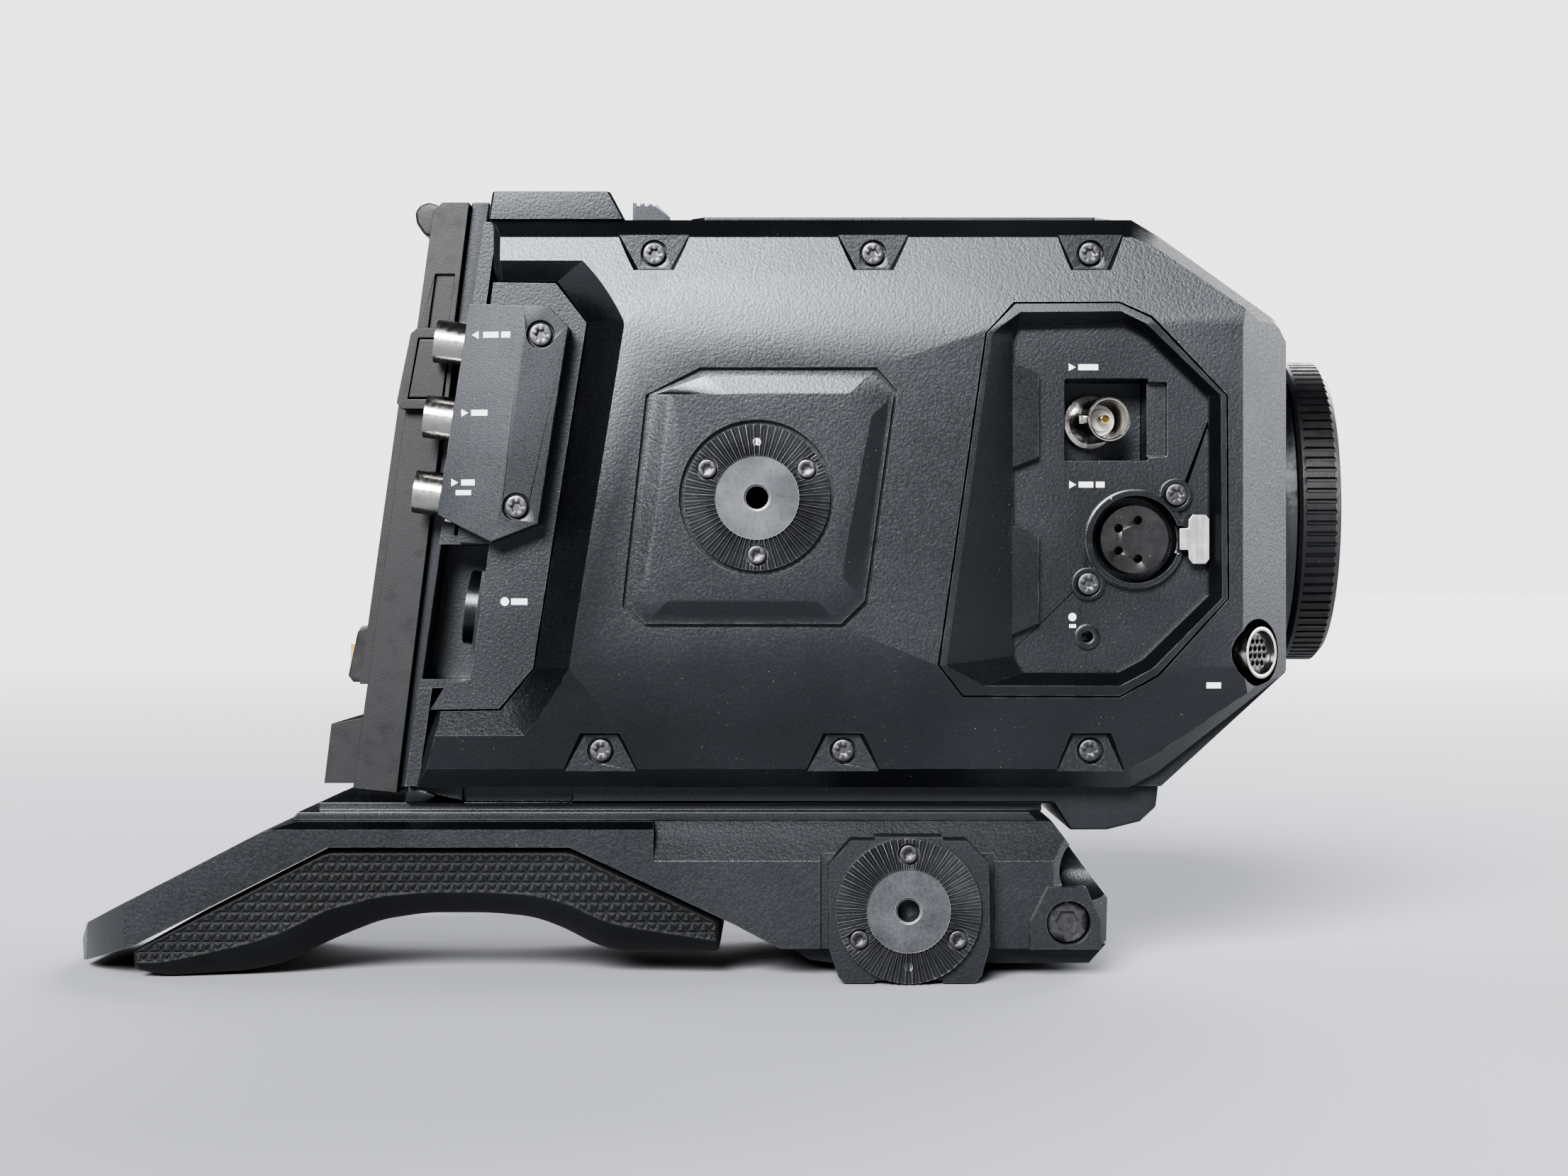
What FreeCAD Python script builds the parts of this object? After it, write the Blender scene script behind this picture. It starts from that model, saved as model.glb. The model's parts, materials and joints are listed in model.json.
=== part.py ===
import FreeCAD, Part
import math
import os
import Sketcher
from FreeCAD import Vector

# Cinema camera rig: camera body with side covers, battery plate, fold-out monitor and shoulder mount.
# The design frame has its zero on the lens axis: x forward along the lens, z up, and depths
# counted to the camera's right-hand side (row -Y). Every sub-part's placement then moves it to
# the rig's own frame, which stands on z = 0 under the middle of the rig.

# ---------------------------------------------------------------- driving sizes
SIZES = {
    "lens_axis_height": 105.3, "middle_shift": 18.75, "fit_gap": 0.05, "seam": 0.35,
    # casing outline, side view
    "casing_top": 63.4, "casing_bottom": -62.4, "front_face": 111.7, "rear_face": -75.7,
    "rear_slope": 0.1407, "brow_x": 77.0, "brow_z": 37.0, "chin_x": 84.0, "chin_z": -37.0,
    "chassis_half": 38.0, "casing_wall": 3.0, "front_wall": 5.0,
    # right side cover
    "cover_face": 50.5, "cover_edge_face": 46.0, "cover_rim_face": 41.0, "cover_skin_back": 44.5,
    "facet_top": 39.2, "facet_bottom": -35.5, "bevel": 4.4, "corner_start": 100.3,
    "arm_upper_end": -64.4, "arm_lower_end": -81.5, "screw_row_top": 55.5, "screw_row_bottom": -54.0,
    "island_face": 44.5,
    # rosettes, a standard 60-tooth accessory rosette
    "rosette_radius": 15.9, "rosette_hub": 9.2, "rosette_thread": 2.5, "rosette_depth": 2.4,
    "rosette_screw_circle": 12.5, "rosette_teeth": 60, "tooth_depth": 0.9,
    "side_rosette_x": -5.9, "side_rosette_z": 1.5, "panel_face": 52.4, "panel_bed": 1.5,
    "low_rosette_x": 27.3, "low_rosette_z": -89.0, "low_rosette_face": 49.5,
    # connectors
    "bnc_radius": 4.85, "bnc_wall": 0.55, "bnc_length": 16.0, "bnc_tilt": 12.0,
    "xlr_x": 77.3, "xlr_z": -7.5, "xlr_radius": 11.1, "xlr_bore": 9.6, "xlr_insert": 7.5,
    "jack_x": 66.8, "jack_z": -28.9, "panel_floor": 44.5, "module_face": 53.0,
    "dc_wall_x": -63.8, "dc_z": -23.0, "dc_depth": 29.5, "dc_radius": 9.0,
    # top
    "audio_top": 69.7, "audio_rear": -65.4, "audio_front": -38.5, "audio_half": 42.0,
    "plate_rear": -21.0, "plate_front": 76.0, "plate_half": 29.0, "plate_top": 65.6,
    "tap_quarter": 2.55, "plate_pitch": 20.0,
    # lens mount and cap
    "mount_radius": 34.4, "throat_radius": 27.0, "mount_thick": 3.6, "cap_radius": 35.0,
    "cap_front": 125.2, "cap_ribs": 90,
    # battery side
    "slab_rear": -87.6, "slab_front": -78.6, "slab_slope": 0.139, "slab_top": 66.0,
    "slab_bottom": -64.0, "slab_half": 36.0, "adapter_half": 33.0,
    # left side
    "left_face": 46.0, "monitor_rear": -46.0, "monitor_front": 63.3, "monitor_top": 43.0,
    "monitor_bottom": -32.0, "monitor_inner": 46.6, "monitor_outer": 53.0,
    "hinge_x": 67.0, "hinge_radius": 3.1, "hinge_pin": 1.2,
    # shoulder mount
    "base_half": 39.0, "base_top": -70.4, "base_front": 73.5, "base_floor": -98.5,
    "base_rear": -162.7, "camera_foot": -66.5, "wedge_floor": -102.8, "wedge_half": 22.0,
    "rod_radius": 7.5, "rod_spacing": 60.0, "rod_z": -81.4, "rod_depth": 62.0,
    "clamp_x": 63.2, "clamp_z": -92.6, "pad_half": 38.0,
    "tap_three_eighths": 4.0,
}


class Size:
    """A number that remembers the spreadsheet expression it comes from."""

    def __init__(self, value, text):
        self.value = float(value)
        self.text = text

    def __add__(self, other):
        return Size(self.value + number(other), f"({self.text} + {expression(other)})")

    def __radd__(self, other):
        return Size(number(other) + self.value, f"({expression(other)} + {self.text})")

    def __sub__(self, other):
        return Size(self.value - number(other), f"({self.text} - {expression(other)})")

    def __rsub__(self, other):
        return Size(number(other) - self.value, f"({expression(other)} - {self.text})")

    def __mul__(self, other):
        return Size(self.value * number(other), f"({self.text} * {expression(other)})")

    __rmul__ = __mul__

    def __truediv__(self, other):
        return Size(self.value / number(other), f"({self.text} / {expression(other)})")

    def __neg__(self):
        return Size(-self.value, f"(0 - {self.text})")


def number(size):
    return size.value if isinstance(size, Size) else float(size)


def expression(size):
    return size.text if isinstance(size, Size) else f"({size})"


class SizeTable:
    """The sizes by name, each tied to its spreadsheet cell."""


doc = FreeCAD.newDocument("cinema_camera_rig")
sheet = doc.addObject("Spreadsheet::Sheet", "Sizes")
d = SizeTable()
for row, (alias, amount) in enumerate(SIZES.items(), start=1):
    sheet.set(f"A{row}", alias)
    sheet.set(f"B{row}", str(amount))
    sheet.setAlias(f"B{row}", alias)
    setattr(d, alias, Size(amount, f"Sizes.{alias}"))
doc.recompute()

PIECES = []


def bind(thing, prop, size):
    """Give a property its value, tied to the spreadsheet when it comes from there."""
    if isinstance(size, Size):
        thing.setExpression(prop, size.text)
        return True
    return False


# ---------------------------------------------------------------- outlines for sketches
def poly(*points):
    return ("poly", points)


def box(x0, z0, x1, z1):
    return poly((x0, z0), (x1, z0), (x1, z1), (x0, z1))


def disc(x, z, radius):
    return ("disc", x, z, radius)


def ring_points(x, z, radii, count, first=0.0):
    """Points round a centre; two radii make a star, one makes a regular polygon."""
    points = []
    for i in range(count):
        angle = math.radians(first + 360.0 * i / count)
        radius = radii[i % len(radii)]
        points.append((x + radius * math.cos(angle), z + radius * math.sin(angle)))
    return poly(*points)


def star(x, z, outer):
    """Six-lobed driver socket."""
    return ring_points(x, z, (outer, outer * 0.72), 12)


def draw_poly(sketch, points):
    first = sketch.GeometryCount
    count = len(points)
    flat = [Vector(number(x), number(z), 0) for x, z in points]
    lines = [Part.LineSegment(flat[i], flat[(i + 1) % count]) for i in range(count)]
    sketch.addGeometry(lines, False)
    rules = []
    for i in range(count):
        rules.append(Sketcher.Constraint("Coincident", first + i, 2, first + (i + 1) % count, 1))
    sketch.addConstraint(rules)
    for i, (x, z) in enumerate(points):
        for kind, value in (("DistanceX", x), ("DistanceY", z)):
            index = sketch.addConstraint(Sketcher.Constraint(kind, -1, 1, first + i, 1, number(value)))
            bind(sketch, f"Constraints[{index}]", value)


def draw_disc(sketch, x, z, radius):
    geometry = sketch.addGeometry(Part.Circle(Vector(number(x), number(z), 0), Vector(0, 0, 1),
                                              number(radius)), False)
    for kind, value in (("DistanceX", x), ("DistanceY", z)):
        index = sketch.addConstraint(Sketcher.Constraint(kind, -1, 1, geometry, 3, number(value)))
        bind(sketch, f"Constraints[{index}]", value)
    index = sketch.addConstraint(Sketcher.Constraint("Radius", geometry, number(radius)))
    bind(sketch, f"Constraints[{index}]", radius)


# ---------------------------------------------------------------- one piece of the rig
class Piece:
    """A separate solid, or a group of identical ones, with its own label and placement."""

    def __init__(self, label, at=(0, 0, 0), turn=None):
        self.body = doc.addObject("PartDesign::Body", label)
        self.body.Label = label
        self.body.AllowCompound = True
        self.at = at
        place = (d.middle_shift + at[0], -1 * at[1] if isinstance(at[1], Size) else -at[1],
                 d.lens_axis_height + at[2])
        self.body.Placement.Base = Vector(*[number(v) for v in place])
        if turn:
            axis, angle = turn
            self.body.Placement.Rotation = FreeCAD.Rotation(Vector(*axis), number(angle))
            bind(self.body, "Placement.Rotation.Angle", angle)
        for name, value in zip("xyz", place):
            bind(self.body, f"Placement.Base.{name}", value)
        PIECES.append(self)

    def draw(self, plane, offset, *outlines, at=(0, 0), turn_y=0):
        """Sketch on an origin plane moved along its normal: XZ to the right, YZ forward, XY up."""
        sketch = self.body.newObject("Sketcher::SketchObject", f"{self.body.Name}_sketch")
        support = [f for f in self.body.Origin.OriginFeatures if f.Role == plane + "_Plane"][0]
        sketch.AttachmentSupport = [(support, "")]
        sketch.MapMode = "FlatFace"
        base = Vector(number(at[0]), number(at[1]), number(offset))
        sketch.AttachmentOffset = FreeCAD.Placement(base, FreeCAD.Rotation(Vector(0, 1, 0), turn_y))
        for name, value in zip("xyz", (at[0], at[1], offset)):
            bind(sketch, f"AttachmentOffset.Base.{name}", value)
        for outline in outlines:
            if outline[0] == "poly":
                draw_poly(sketch, outline[1])
            else:
                draw_disc(sketch, *outline[1:])
        sketch.Visibility = False
        return sketch

    def feature(self, kind, profile, **settings):
        made = self.body.newObject(f"PartDesign::{kind}", f"{self.body.Name}_{kind.lower()}")
        if profile is not None:
            made.Profile = profile
        for name, value in settings.items():
            if isinstance(value, Size):
                setattr(made, name, value.value)
                bind(made, name, value)
            else:
                setattr(made, name, value)
        self.body.Tip = made
        return made

    def pad(self, sketch, length, **settings):
        return self.feature("Pad", sketch, Length=length, **settings)

    def pocket(self, sketch, length=None, **settings):
        if length is None:
            return self.feature("Pocket", sketch, Type="ThroughAll", **settings)
        return self.feature("Pocket", sketch, Length=length, **settings)

    def revolve(self, sketch, axis="H_Axis"):
        return self.feature("Revolution", sketch, ReferenceAxis=(sketch, [axis]), Angle=360.0)

    def groove(self, sketch, axis="H_Axis"):
        return self.feature("Groove", sketch, ReferenceAxis=(sketch, [axis]), Angle=360.0)

    def loft(self, first, *others):
        return self.feature("AdditiveLoft", first, Sections=list(others), Ruled=True)

    def cut_loft(self, first, *others):
        return self.feature("SubtractiveLoft", first, Sections=list(others), Ruled=True)

    def round_pattern(self, original, sketch, count, axis="N_Axis"):
        return self.feature("PolarPattern", None, Originals=[original], Axis=(sketch, [axis]),
                            Angle=360.0, Occurrences=int(number(count)))

    def mirror(self):
        """Repeat the whole piece on the other side of the rig's middle plane."""
        plane = [f for f in self.body.Origin.OriginFeatures if f.Role == "XZ_Plane"][0]
        return self.feature("Mirrored", None, Originals=[self.body.Tip], TransformMode="Whole shape",
                            MirrorPlane=(plane, [""]))

    def plate(self, plane, start, end, *outlines):
        """Pad outlines from one depth to another."""
        return self.pad(self.draw(plane, start, *outlines), end - start)

    def cut(self, plane, start, depth, *outlines, **where):
        """Pocket outlines from a depth inwards."""
        return self.pocket(self.draw(plane, start, *outlines, **where), depth)


def rear_line(z):
    """The casing's slanted rear face."""
    return d.rear_face + d.rear_slope * z


# ---------------------------------------------------------------- camera body
def cover_outer():
    """Widest outline of the side covers."""
    return [(d.brow_x, d.casing_top), (d.brow_x + 6, d.casing_top - 3.6),
            (d.front_face - 3.2, d.brow_z + 4.5), (d.front_face, d.brow_z - 0.5),
            (d.front_face, d.chin_z + 0.5), (d.chin_x - 1.3, d.casing_bottom + 3.3),
            (d.chin_x - 7.5, d.casing_bottom)]


def cover_inner():
    """The outline where the edge bevel meets the face."""
    return [(d.brow_x - 0.5, d.casing_top - d.bevel), (d.brow_x + 4.5, d.casing_top - d.bevel - 2.2),
            (d.front_face - 4.0, d.brow_z + 1.2), (d.front_face - 1.0, d.brow_z - 2.6),
            (d.front_face - 1.0, d.chin_z + 2.2), (d.chin_x - 4.0, d.casing_bottom + d.bevel + 1.9),
            (d.chin_x - 8.0, d.casing_bottom + d.bevel)]


COVER_SCREWS_TOP = (-28.6, 19.6, 67.4)
COVER_SCREWS_BOTTOM = (-40.4, 13.0, 67.4)


def screw_points():
    top = [(x, d.screw_row_top) for x in COVER_SCREWS_TOP]
    return top + [(x, d.screw_row_bottom) for x in COVER_SCREWS_BOTTOM]


def main_chassis():
    piece = Piece("main_chassis")
    half, wall = d.chassis_half, d.casing_wall
    top, bottom = d.casing_top, d.casing_bottom
    outer = poly((rear_line(top), top), (d.brow_x, top), (d.front_face, d.brow_z),
                 (d.front_face, d.chin_z), (d.chin_x, bottom), (rear_line(bottom), bottom))
    piece.plate("XZ", -half, half, outer)
    roof, floor, front = top - wall, bottom + wall, d.front_face - d.front_wall
    inner = poly((rear_line(roof) + wall, roof), (d.brow_x - 1.5, roof), (front, d.brow_z - 1.5),
                 (front, d.chin_z + 1.5), (d.chin_x - 1.5, floor), (rear_line(floor) + wall, floor))
    piece.cut("XZ", half, 2 * half, inner)
    flat = [box(x - 4, z - 4, x + 4, roof + 1) for x, z in screw_points()[:3]]
    flat += [box(x - 4, floor - 1, x + 4, z + 4) for x, z in screw_points()[3:]]
    for low in (half - 8, -half):
        piece.plate("XZ", low, low + 8, *flat)
    # throat behind the lens mount
    piece.cut("YZ", d.front_face, d.front_wall + 1, disc(0, 0, d.throat_radius + 0.6))
    # fastening holes for both side covers
    holes = [disc(x, z, 1.25) for x, z in screw_points()]
    piece.cut("XZ", half, 7, *holes)
    piece.pocket(piece.draw("XZ", -half, *holes), 7, Reversed=True)
    # room for the power socket housing in the rear right corner
    top_z, low_z, wall_top, wall_low = dc_box(0)
    piece.cut("XZ", half, 20, poly((-95, top_z), (wall_top, top_z), (wall_low, low_z), (-95, low_z)))
    # tapped accessory holes continue from the top plate
    piece.cut("XY", top, wall, *[disc(x, 0, d.tap_quarter) for x in top_taps()])
    # microphone inputs, their latches, lens release button and cooling slots
    piece.cut("XY", top, wall, *[disc(d.audio_front - 14, y, 8.6) for y in (-16, 16)])
    latch = d.audio_front + 3.9
    piece.cut("XY", top, wall, *[box(latch - 0.3, y - 5.8, latch + 9.2, y + 5.8) for y in (-16, 16)])
    piece.cut("YZ", d.front_face, d.front_wall, disc(31.5, -29, 3.15))
    slots = [box(-34 + 7 * i, -20, -30 + 7 * i, 20) for i in range(6)]
    piece.pocket(piece.draw("XY", bottom, *slots), wall + 1, Reversed=True)
    return piece


def dc_box(inset):
    """Outline of the power socket housing in the slanted rear corner, with its walls inset."""
    top, low = -6.5 - inset, -40.5 + inset
    thick = 2.4 - 1.2 * inset
    wall_top = d.dc_wall_x + d.rear_slope * top + thick
    wall_low = d.dc_wall_x + d.rear_slope * low + thick
    return top, low, wall_top, wall_low


def cut_facets(piece):
    """The side slopes away above and below a flat middle band."""
    face, edge = -1 * d.cover_face, -1 * d.cover_edge_face
    high, low = d.casing_top - d.bevel, d.casing_bottom + d.bevel
    above = poly((face, d.facet_top), (edge, high), (edge, high + 9), (face - 1, high + 9),
                 (face - 1, d.facet_top))
    below = poly((face, d.facet_bottom), (edge, low), (edge, low - 9), (face - 1, low - 9),
                 (face - 1, d.facet_bottom))
    start = d.front_face + 2
    piece.cut("YZ", start, 260, above)
    piece.cut("YZ", start, 260, below)


def right_side_cover():
    piece = Piece("right_side_cover")
    top, low = d.casing_top, d.casing_bottom
    upper, lower = d.arm_upper_end, d.arm_lower_end
    outer = poly((upper, top), *cover_outer(), (lower, low), (lower + 2.4, -52.0),
                 (lower + 4.8, -44.5), (-50, 0), (upper, 52.5))
    piece.plate("XZ", d.chassis_half, d.cover_rim_face, outer)
    inner = poly((upper + 2, top - d.bevel), *cover_inner(), (lower + 2.8, low + d.bevel),
                 (lower + 4.4, -52.0), (lower + 6.6, -44.5), (-50, 0), (upper + 2, 52.5))
    piece.loft(piece.draw("XZ", d.cover_rim_face, outer), piece.draw("XZ", d.cover_edge_face, inner))
    piece.plate("XZ", d.cover_edge_face, d.cover_face, inner)
    cut_facets(piece)
    # front corner slopes at 45 degrees, with a deeper dip beside the lens mount
    face, corner, front = -1 * d.cover_face, d.corner_start, d.front_face + 1
    reach = front - corner
    piece.cut("XY", d.casing_top + 1, 130, poly((corner, face), (front, face + reach),
                                                (front + 4, face + reach), (front + 4, face - 1),
                                                (corner, face - 1)))
    dip = poly((corner + 6, face + 6), (front, face + 12.5), (front + 1, face + 12.5),
               (front + 1, face + 5))
    piece.cut("XY", 27, 54, dip)
    # hollow back
    piece.pocket(piece.draw("XZ", d.chassis_half,
                            poly((-26, 49), (74, 49), (99.5, 32), (99.5, -30), (78, -47), (-42, -47))),
                 d.cover_skin_back - d.chassis_half, Reversed=True)
    # stepped opening round the rear connectors: straight inside, sloped on the way out
    piece.cut("XZ", d.cover_face + 1, 14, poly(*island_points(0.0)))
    piece.cut_loft(piece.draw("XZ", d.island_face, poly(*island_points(0.0))),
                   piece.draw("XZ", d.cover_face + 0.1, poly(*slope_points())))
    # front connector opening, lens socket well, rosette stem hole
    piece.cut("XZ", d.cover_face + 1, 7.5, poly(*bezel_points(0.0)))
    well = piece.draw("XZ", 46.5, disc(0, 0, 7.4), at=(104.3, -32.4), turn_y=45)
    piece.pocket(well, 5.5)
    rim = piece.draw("XZ", 46.5, disc(0, 0, 7.4), at=(104.3, -32.4), turn_y=45)
    piece.pocket(rim, 8, Reversed=True)
    piece.cut("XZ", d.cover_face, 7, disc(d.side_rosette_x, d.side_rosette_z, 7.05))
    # sunk bed that leaves a narrow channel round the rosette panel
    piece.cut("XZ", d.cover_face + 1, 1 + d.panel_bed, poly(*rosette_panel_points(-0.8)))
    # screw notches with sloping sides
    for points in notch_outlines():
        wide, narrow = points
        piece.cut_loft(piece.draw("XZ", d.cover_edge_face - 0.6, poly(*narrow)),
                       piece.draw("XZ", d.cover_face, poly(*wide)))
    floor = d.cover_edge_face - 0.6
    piece.cut("XZ", floor, 2.2, *[disc(x, z, 3.0) for x, z in screw_points()])
    piece.cut("XZ", floor, 9, *[disc(x, z, 1.3) for x, z in screw_points()])
    return piece


def island_points(gap):
    """Inner edge of the cover's stepped rear opening."""
    return [(-100, 49.6 - gap), (-50.0 - gap, 49.4 - gap), (-43.2 - gap, 40.3),
            (-55.0 - gap, -35.9), (-62.5 - gap, -45.2 + gap), (-100, -45.6 + gap)]


def slope_points():
    """Outer edge of the slope, on the plane of the cover's face."""
    return [(-100, 59.2), (-37.0, 59.2), (-34.6, 40.3), (-46.9, -35.9), (-51.5, -56.2), (-100, -56.2)]


def notch_outlines():
    """Trapezoid screw notches, open at the cover's edge: wide and narrow outlines."""
    pairs = []
    for index, (x, z) in enumerate(screw_points()):
        side = 1 if index < 3 else -1
        spread = 4.2 if index % 3 != 2 else 3.6
        wide = [(x - 5.4, z - 4.6 * side), (x + 5.4, z - 4.6 * side),
                (x + 5.4 + spread * 1.9, z + 6.4 * side), (x - 5.4 - spread * 1.9, z + 6.4 * side)]
        narrow = [(x - 3.6, z - 3.4 * side), (x + 3.6, z - 3.4 * side),
                  (x + 3.6 + spread * 1.25, z + 6.4 * side), (x - 3.6 - spread * 1.25, z + 6.4 * side)]
        pairs.append((wide, narrow))
    return pairs


def casing_screws():
    """Every recessed screw of the covers and connector plates, and the four of the lens mount."""
    piece = Piece("casing_screws")
    spots = screw_points()
    seat = d.cover_edge_face - 2.8
    add_screws(piece, spots, seat, seat + 1.9, seat - 8.5)
    left = d.left_face
    piece.plate("XZ", -1 * left + 0.6, -1 * left + 2.4, *[disc(x, z, 2.35) for x, z in spots])
    piece.plate("XZ", -1 * left + 2.4, -1 * left + 13, *[disc(x, z, 1.2) for x, z in spots])
    piece.pocket(piece.draw("XZ", -1 * left + 0.6, *[star(x, z, 1.35) for x, z in spots]), 1.2,
                 Reversed=True)
    add_screws(piece, xlr_screws(), d.panel_floor + 1.25, d.panel_floor + 2.3, d.panel_floor - 2.4)
    seat = d.module_face - 1.5
    add_screws(piece, MODULE_SCREWS, seat, seat + 1.3, seat - 6.9)
    face = d.front_face + d.mount_thick
    piece.plate("YZ", face - 1.3, face - 0.1, *[disc(y, z, 1.7) for y, z in mount_screw_spots()])
    piece.plate("YZ", face - 3.5, face - 1.3, *[disc(y, z, 0.9) for y, z in mount_screw_spots()])
    piece.cut("YZ", face - 0.1, 0.8, *[star(y, z, 0.9) for y, z in mount_screw_spots()])
    return piece


def add_screws(piece, spots, seat, top, end):
    """Pan-head screws with lobed sockets, seen from the right-hand side."""
    piece.plate("XZ", seat, top, *[disc(x, z, 2.35) for x, z in spots])
    piece.plate("XZ", end, seat, *[disc(x, z, 1.2) for x, z in spots])
    piece.cut("XZ", top, 1.0, *[star(x, z, 1.35) for x, z in spots])


# ---------------------------------------------------------------- right side: rosette
def rosette_panel_points(inset):
    return [(-17.6 + inset, 29.2 - inset), (19.4 - inset, 29.2 - inset), (24.0 - inset, 24.2 - inset),
            (17.6 - inset, -21.0 + inset), (12.4 - inset, -26.0 + inset),
            (-30.4 + inset, -26.0 + inset), (-34.6 + inset, -21.4 + inset), (-29.4 + inset, 24.0)]


def rosette_panel():
    piece = Piece("rosette_panel")
    x, z = d.side_rosette_x, d.side_rosette_z
    wide, low = rosette_panel_points(0.0), rosette_panel_points(0.9)
    high = rosette_panel_points(5.2)
    piece.plate("XZ", d.cover_face - d.panel_bed, d.cover_face + 0.9, poly(*wide))
    piece.loft(piece.draw("XZ", d.cover_face + 0.9, poly(*low)),
               piece.draw("XZ", d.panel_face, poly(*high)))
    # seat down to the back of the rosette, with a hole for its stem
    seat = d.panel_face - d.module_face + d.rosette_depth
    piece.cut("XZ", d.panel_face, seat, disc(x, z, d.rosette_radius + 1.1))
    piece.cut("XZ", d.panel_face, 4, disc(x, z, 7.05))
    return piece


def rosette(label, x, z, face, turned, stem):
    """Toothed disc with a sunk, tapped hub and a stem that centres it."""
    piece = Piece(label, at=(x, 0, z))
    radius, depth, hub = d.rosette_radius, d.rosette_depth, d.rosette_hub
    piece.plate("XZ", face - depth, face, disc(0, 0, radius))
    piece.plate("XZ", face - depth - stem, face - depth, disc(0, 0, 7.0))
    share = math.pi / number(d.rosette_teeth)
    grooves = []
    for reach in (radius + 0.4, hub):
        half = reach * share
        wedge = poly((-1 * face - 0.02, -1 * half), (-1 * face - 0.02, half), (-1 * face + d.tooth_depth, 0))
        grooves.append(piece.draw("YZ", reach, wedge))
    tooth = piece.cut_loft(*grooves)
    piece.round_pattern(tooth, piece.draw("XZ", face, disc(0, 0, 1.0)), d.rosette_teeth)
    # sunk hub face, tapped hole with a lead-in, three screw seats and an index dot
    piece.cut("XZ", face, 0.45, disc(0, 0, hub))
    piece.cut("XZ", face, depth + stem, disc(0, 0, d.rosette_thread))
    piece.cut("XZ", face - 0.45, 0.5, disc(0, 0, d.rosette_thread + 0.45))
    spots = rosette_screw_spots(turned)
    piece.cut("XZ", face, 1.7, *[disc(px, pz, 2.4) for px, pz in spots])
    piece.cut("XZ", face, depth + 1, *[disc(px, pz, 1.25) for px, pz in spots])
    piece.cut("XZ", face, 0.5, disc(0, -12.2 if turned else 12.2, 0.95))
    return piece


def rosette_screw_spots(turned):
    circle = d.rosette_screw_circle
    flip = -1 if turned else 1
    angles = (30, 150, 270)
    return [(circle * math.cos(math.radians(a)), circle * (flip * math.sin(math.radians(a))))
            for a in angles]


def rosette_screws():
    """Cap screws of the three rosettes."""
    piece = Piece("rosette_screws")
    side = [(d.side_rosette_x + px, d.side_rosette_z + pz) for px, pz in rosette_screw_spots(False)]
    low = [(d.low_rosette_x + px, d.low_rosette_z + pz) for px, pz in rosette_screw_spots(True)]
    add_cap_screws(piece, low, d.low_rosette_face)
    piece.mirror()
    add_cap_screws(piece, side, d.module_face)
    return piece


def add_cap_screws(piece, spots, face):
    piece.plate("XZ", face - 1.65, face - 0.1, *[disc(x, z, 1.95) for x, z in spots])
    piece.plate("XZ", face - 2.35, face - 1.65, *[disc(x, z, 1.2) for x, z in spots])
    piece.cut("XZ", face - 0.1, 1.1, *[star(x, z, 1.15) for x, z in spots])


# ---------------------------------------------------------------- right side: connectors
def bezel_points(gap):
    return [(50.3 + gap, 44.4 - gap), (44.0 + gap, 37.5), (33.6 + gap, -35.0), (39.0 + gap, -42.1 + gap),
            (73.5, -42.2 + gap), (81.9 - gap, -37.6 + gap), (97.3 - gap, -20.5), (97.0 - gap, 23.8),
            (80.5 - gap, 41.3 - gap), (73.5, 44.5 - gap)]


RECESS = [(51.5, 39.6), (50.2, 37.2), (50.2, -33.2), (52.6, -36.8), (73.4, -36.8), (78.9, -33.9),
          (93.4, -19.8), (93.4, 24.0), (79.3, 37.6), (74.5, 40.1)]
TABS = [(50.2, 31.2), (56.0, 28.8), (56.0, 10.6), (50.2, 8.3), (50.2, -4.4), (56.0, -6.9),
        (56.0, -25.9), (50.2, -28.4)]


def connector_bezel():
    piece = Piece("connector_bezel")
    piece.plate("XZ", d.panel_floor, d.cover_face, poly(*bezel_points(d.seam)))
    cut_facets(piece)
    ledge = d.cover_face - 3.4
    piece.cut_loft(piece.draw("XZ", ledge, poly(*RECESS)),
                   piece.draw("XZ", d.cover_face + 0.1, poly(*bezel_points(1.5))))
    piece.cut("XZ", ledge + 0.5, 8, poly(*RECESS[:2], *TABS, *RECESS[2:]))
    return piece


def front_connector_panel():
    piece = Piece("front_connector_panel")
    floor = d.panel_floor
    piece.plate("XZ", floor - 2.5, floor, poly((45, 46), (74, 46), (98, 30), (98, -28), (77, -46), (36, -46)))
    # well for the tilted video socket
    piece.plate("XZ", floor - 15, floor - 2.5, box(60.4, 8.4, 85.8, 29.4))
    piece.cut("XZ", floor, 13, box(62, 10, 80.2, 27.9))
    piece.cut("XZ", floor, 2.2, box(80, 10.8, 84.4, 27.1))
    piece.cut("XZ", floor, 30, disc(d.xlr_x, d.xlr_z, d.xlr_radius - 0.5))
    piece.cut("XZ", floor, 30, disc(d.jack_x, d.jack_z, 2.35))
    piece.cut("XZ", floor, 3, *[disc(x, z, 1.3) for x, z in xlr_screws()])
    return piece


def xlr_screws():
    return [(d.xlr_x + 9.0, d.xlr_z + 9.8), (d.xlr_x - 10.3, d.xlr_z - 9.8)]


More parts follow.
